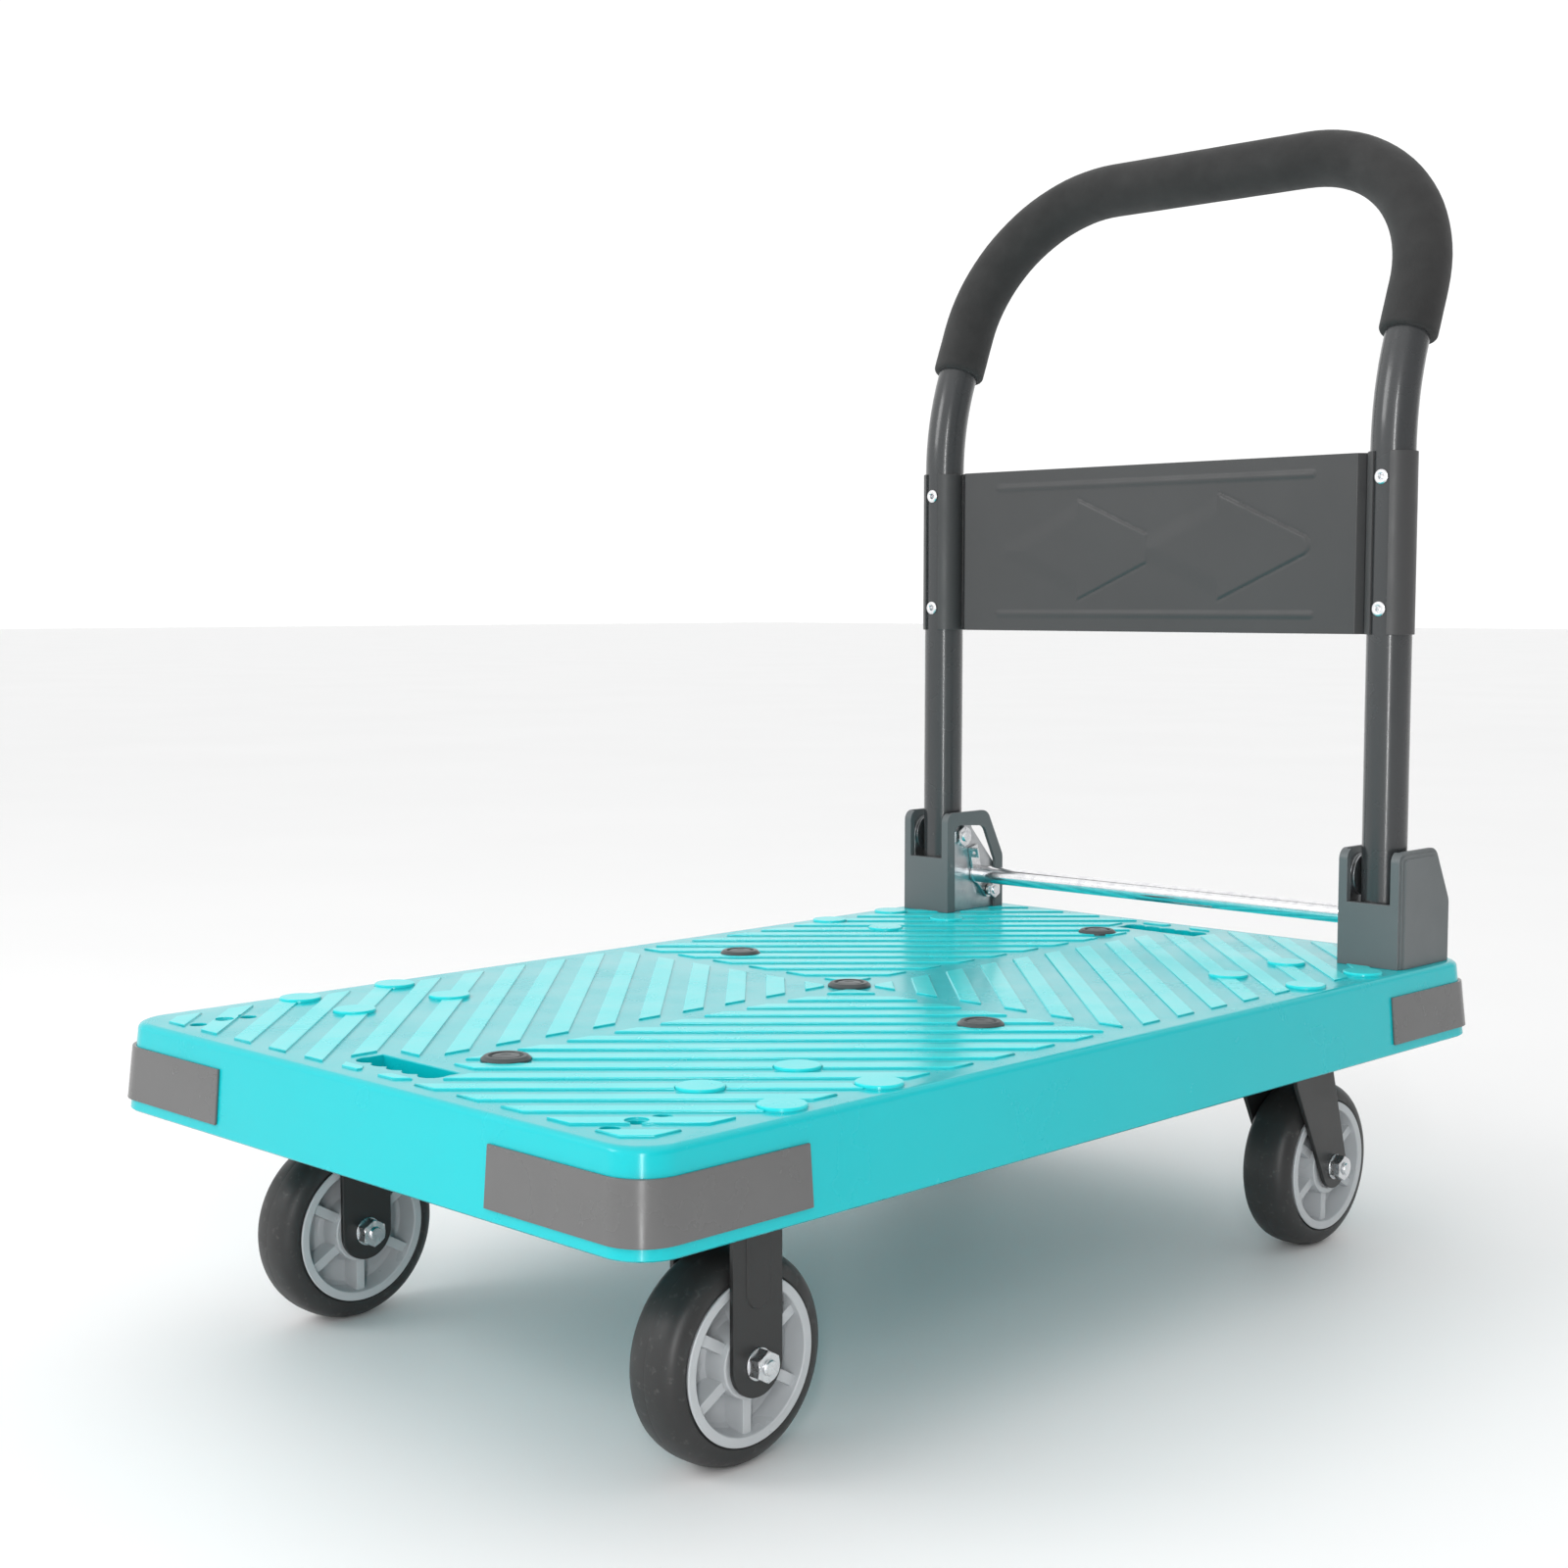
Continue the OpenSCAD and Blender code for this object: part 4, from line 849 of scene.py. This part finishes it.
def panel_section():
    """The sheet's front line in plan, from the middle to the right wrap: rows of x, y and outward normal."""
    front, back, run, bend_r = mm(-5, 4, 8.4, 2.2)
    flat = LEG_X - TUBE_R - 12 * MM
    flat_steps, bend_steps = 150, 6
    bend = math.atan2(back - front, run)
    cos_bend, sin_bend = math.cos(bend), math.sin(bend)
    line = [(flat * i / flat_steps, front, 0.0, -1.0) for i in range(flat_steps + 1)]
    for k in range(1, bend_steps + 1):
        a = bend * k / bend_steps
        line.append((flat + bend_r * math.sin(a), front + bend_r * (1 - math.cos(a)),
                     math.sin(a), -math.cos(a)))
    x, y = line[-1][:2]
    rise = back - y - bend_r * (1 - cos_bend)
    length = rise / sin_bend
    for k in (1, 2):
        line.append((x + length * cos_bend * k / 2, y + rise * k / 2, sin_bend, -cos_bend))
    x, y = line[-1][:2]
    for k in range(bend_steps - 1, -1, -1):
        a = bend * k / bend_steps
        line.append((x + bend_r * (sin_bend - math.sin(a)), y + bend_r * (math.cos(a) - cos_bend),
                     math.sin(a), -math.cos(a)))
    return line


def leg_wrap(bm, s, sheet, half_h, mid_z):
    """The sheet's wrap round one leg, open in front, added to bm with its end edges eased."""
    wrap_r, ease, trim = TUBE_R + 0.2 * MM, 0.4 * MM, 0.3 * MM
    open_half, steps = math.radians(22), 56
    section = []
    for k in range(steps + 1):
        a = -math.pi / 2 + open_half + (2 * math.pi - 2 * open_half) * k / steps
        section.append((math.cos(a), math.sin(a)))

    def row(r, z):
        return [bm.verts.new((s * LEG_X + c * r, PIVOT.y + q * r, mid_z + z)) for c, q in section]

    levels = ((-half_h, trim), (ease - half_h, 0.0), (half_h - ease, 0.0), (half_h, trim))
    walls = [(row(wrap_r + cut, z), row(wrap_r + sheet - cut, z)) for z, cut in levels]
    for (a_in, a_out), (b_in, b_out) in zip(walls, walls[1:]):
        join_rows(bm, a_in, b_in)
        join_rows(bm, a_out, b_out)
        for i in (0, steps):
            bm.faces.new((a_in[i], a_out[i], b_out[i], b_in[i]))
    for inside, outside in (walls[0], walls[-1]):
        join_rows(bm, inside, outside)


def back_panel():
    """The folded sheet: pressed ribs and field on its flat, folds at its sides, and a wrap round each leg."""
    low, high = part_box("back_panel")
    half_h = (high.z - low.z) / 2
    mid_z = (high.z + low.z) / 2
    sheet, pressed_half = mm(1.5, 175)
    rows = 112
    line = panel_section()
    full = [(-x, y, -nx, ny) for x, y, nx, ny in line[:0:-1]] + line
    bm = bmesh.new()
    fronts, backs = [], []
    for k in range(rows + 1):
        z = (2 * k / rows - 1) * half_h
        fronts.append([])
        backs.append([])
        for x, y, nx, ny in full:
            out = panel_height(x, z, half_h) if abs(x) < pressed_half else 0.0
            into = sheet - out * 0.9
            fronts[-1].append(bm.verts.new((x + nx * out, PIVOT.y + y + ny * out, mid_z + z)))
            backs[-1].append(bm.verts.new((x - nx * into, PIVOT.y + y - ny * into, mid_z + z)))
    for grid in (fronts, backs):
        for a, b in zip(grid, grid[1:]):
            join_rows(bm, a, b)
    for end in (0, -1):
        join_rows(bm, fronts[end], backs[end])
        join_rows(bm, [row[end] for row in fronts], [row[end] for row in backs])
    for _, s in SIDES:
        leg_wrap(bm, s, sheet, half_h, mid_z)
    return finish_piece(new_piece("back_panel_shape", bm), "back_panel", 40)


def panel_rivets():
    """Four hollow rivets: a rolled ring in front, a shank, and a domed tail behind."""
    low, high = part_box("panel_rivets")
    r, shank_r, tail_h = 5.8, 2.5, 1.2
    # (depth, radius, corner's radius) in mm; the tail lies against the panel's back
    ring = [(0.6, 2.3, 0.3), (0.05, 2.9, 0.4), (0, 4.7, 0.8), (0.7, r, 0.6), (1.5, r, 0.1)]
    body = [(1.6, shank_r), (37, shank_r), (37, 0.05), (6, 0.05), (6, 2.2)]
    back = (high.y - low.y) / MM
    tail = [(back - tail_h, 0.05), (back - tail_h, 4.8, 0.2), (back, 4, 0.9), (back, 0.05)]
    profiles = [rounded(in_mm(rows), steps=4) for rows in (ring + body, tail)]
    bm = bmesh.new()
    for _, s in SIDES:
        for z in (low.z + r * MM, high.z - r * MM):
            turned(bm, profiles, "Z", math.pi / 2, (s * LEG_X, low.y, z), 48)
    return finish_piece(new_piece("panel_rivets_shape", bm), "panel_rivets")


def release_springs():
    """Torsion springs wound round the studs."""
    low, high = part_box("release_springs")
    centre = (low + high) / 2
    wire, pitch = mm(0.7, 1.215)
    turns, per_turn, wire_sides = 3, 40, 12
    coil_r = (high.z - low.z) / 2 - wire
    bm = bmesh.new()
    for side, outer in ((-1, low.x), (1, high.x)):
        path = []
        for k in range(turns * per_turn + 1):
            a = 2 * math.pi * k / per_turn
            across, up = coil_r * math.cos(a), coil_r * math.sin(a)
            point = Vector((outer - side * (wire + pitch * k / per_turn), centre.y + across, centre.z + up))
            tangent = Vector((-side * pitch / (2 * math.pi), -up, across)).normalized()
            path.append((point, tangent, 1.0))
        sweep_tube(bm, path, wire, wire_sides, Vector((1, 0, 0)))
    return finish_piece(new_piece("release_springs_shape", bm), "release_springs")


# ---------- build ----------
deck()
foam_grip()
back_panel()
panel_rivets()
deck_plugs()
release_springs()
for side, s in SIDES:
    pivot_bolt(side, s)
for w in WHEELS:
    tyre(f"tyre_{w}")
    wheel_centre(f"wheel_{w}")
    axle(f"axle_{w}")

# the other CAD pieces, and how far their edges are rounded in mm; those not named here are only smoothed
ROUNDED = {
    **{f"bumper_{end}_{side}": 0.6 for end in ENDS for side, _ in SIDES},
    **{f"hinge_cover_{side}": 0.4 for side, _ in SIDES},
    **{f"hinge_bracket_{side}": 0.5 for side, _ in SIDES},
    **{f"release_arm_{side}": 0.4 for side, _ in SIDES},
    **{f"lock_plates_{side}": 0.25 for side, _ in SIDES},
    **{f"front_fork_{side}": 0.6 for side, _ in SIDES},
    **{f"swivel_fork_{side}": 0.6 for side, _ in SIDES},
    **{f"swivel_plate_{side}": 0.5 for side, _ in SIDES},
}
for node in frame["nodes"]:
    if node in ROUNDED or node not in MADE:
        refined(node, ROUNDED.get(node, 0))


# ---------- floor, light and camera ----------
def floor():
    """A wide pale floor, which the camera sees and the part doesn't include."""
    reach = 40.0
    corners = [(x * reach, y * reach, 0) for x, y in ((-1, -1), (1, -1), (1, 1), (-1, 1))]
    data = bpy.data.meshes.new("floor")
    data.from_pydata(corners, [], [(0, 1, 2, 3)])
    made = bpy.data.objects.new("floor", data)
    bpy.context.scene.collection.objects.link(made)
    look = Finish("floor", grey(0.92), 0.55, specular=0.2)
    look.mottle(1.5, 0.02)
    data.materials.append(look.material)


def soft_light(name, place, target, size, power):
    """A rectangular lamp that looks at a target."""
    data = bpy.data.lights.new(name, "AREA")
    data.shape = "RECTANGLE"
    data.size, data.size_y = size
    data.energy = power
    made = bpy.data.objects.new(name, data)
    made.location = place
    made.rotation_euler = (Vector(target) - Vector(place)).to_track_quat("-Z", "Y").to_euler()
    bpy.context.scene.collection.objects.link(made)


def world():
    """A white studio that is darker on the truck's right, so that its faces part in tone."""
    made = bpy.data.worlds.new("studio")
    made.use_nodes = True
    tree = made.node_tree
    place = tree.nodes.new("ShaderNodeTexCoord")
    toward = tree.nodes.new("ShaderNodeVectorMath")
    toward.operation = "DOT_PRODUCT"
    toward.inputs[1].default_value = Vector((0.93, 0.10, -0.10)).normalized()
    dim = tree.nodes.new("ShaderNodeMapRange")
    dim.interpolation_type = "SMOOTHSTEP"
    for socket, value in (("From Min", 0.05), ("From Max", 0.85), ("To Min", 1.08), ("To Max", 0.42)):
        dim.inputs[socket].default_value = value
    tree.links.new(place.outputs["Generated"], toward.inputs[0])
    tree.links.new(toward.outputs["Value"], dim.inputs["Value"])
    tree.links.new(dim.outputs["Result"], tree.nodes["Background"].inputs["Strength"])
    tree.nodes["Background"].inputs["Color"].default_value = (1.0, 1.0, 1.0, 1)
    bpy.context.scene.world = made


def camera():
    """The place, aim and lens that show the truck at its reference angle."""
    azimuth, elevation = math.radians(44.57), math.radians(4.66)
    back = Vector((math.sin(azimuth) * math.cos(elevation), -math.cos(azimuth) * math.cos(elevation),
                   math.sin(elevation)))
    data = bpy.data.cameras.new("camera")
    data.sensor_width = 36.0
    data.lens = 51.0
    made = bpy.data.objects.new("camera", data)
    made.location = (1.1138, -1.2132, 0.5046)
    made.rotation_mode = "QUATERNION"
    made.rotation_quaternion = (-back).to_track_quat("-Z", "Y")
    bpy.context.scene.collection.objects.link(made)
    bpy.context.scene.camera = made


floor()
world()
soft_light("key", (-1.4, -2.6, 2.0), (0, 0, 0.3), (1.2, 1.2), 22)
soft_light("strip", (1.9, -2.15, 0.8), (0, 0, 0.4), (0.15, 2.2), 32)
camera()
bpy.context.scene.view_settings.view_transform = "Standard"
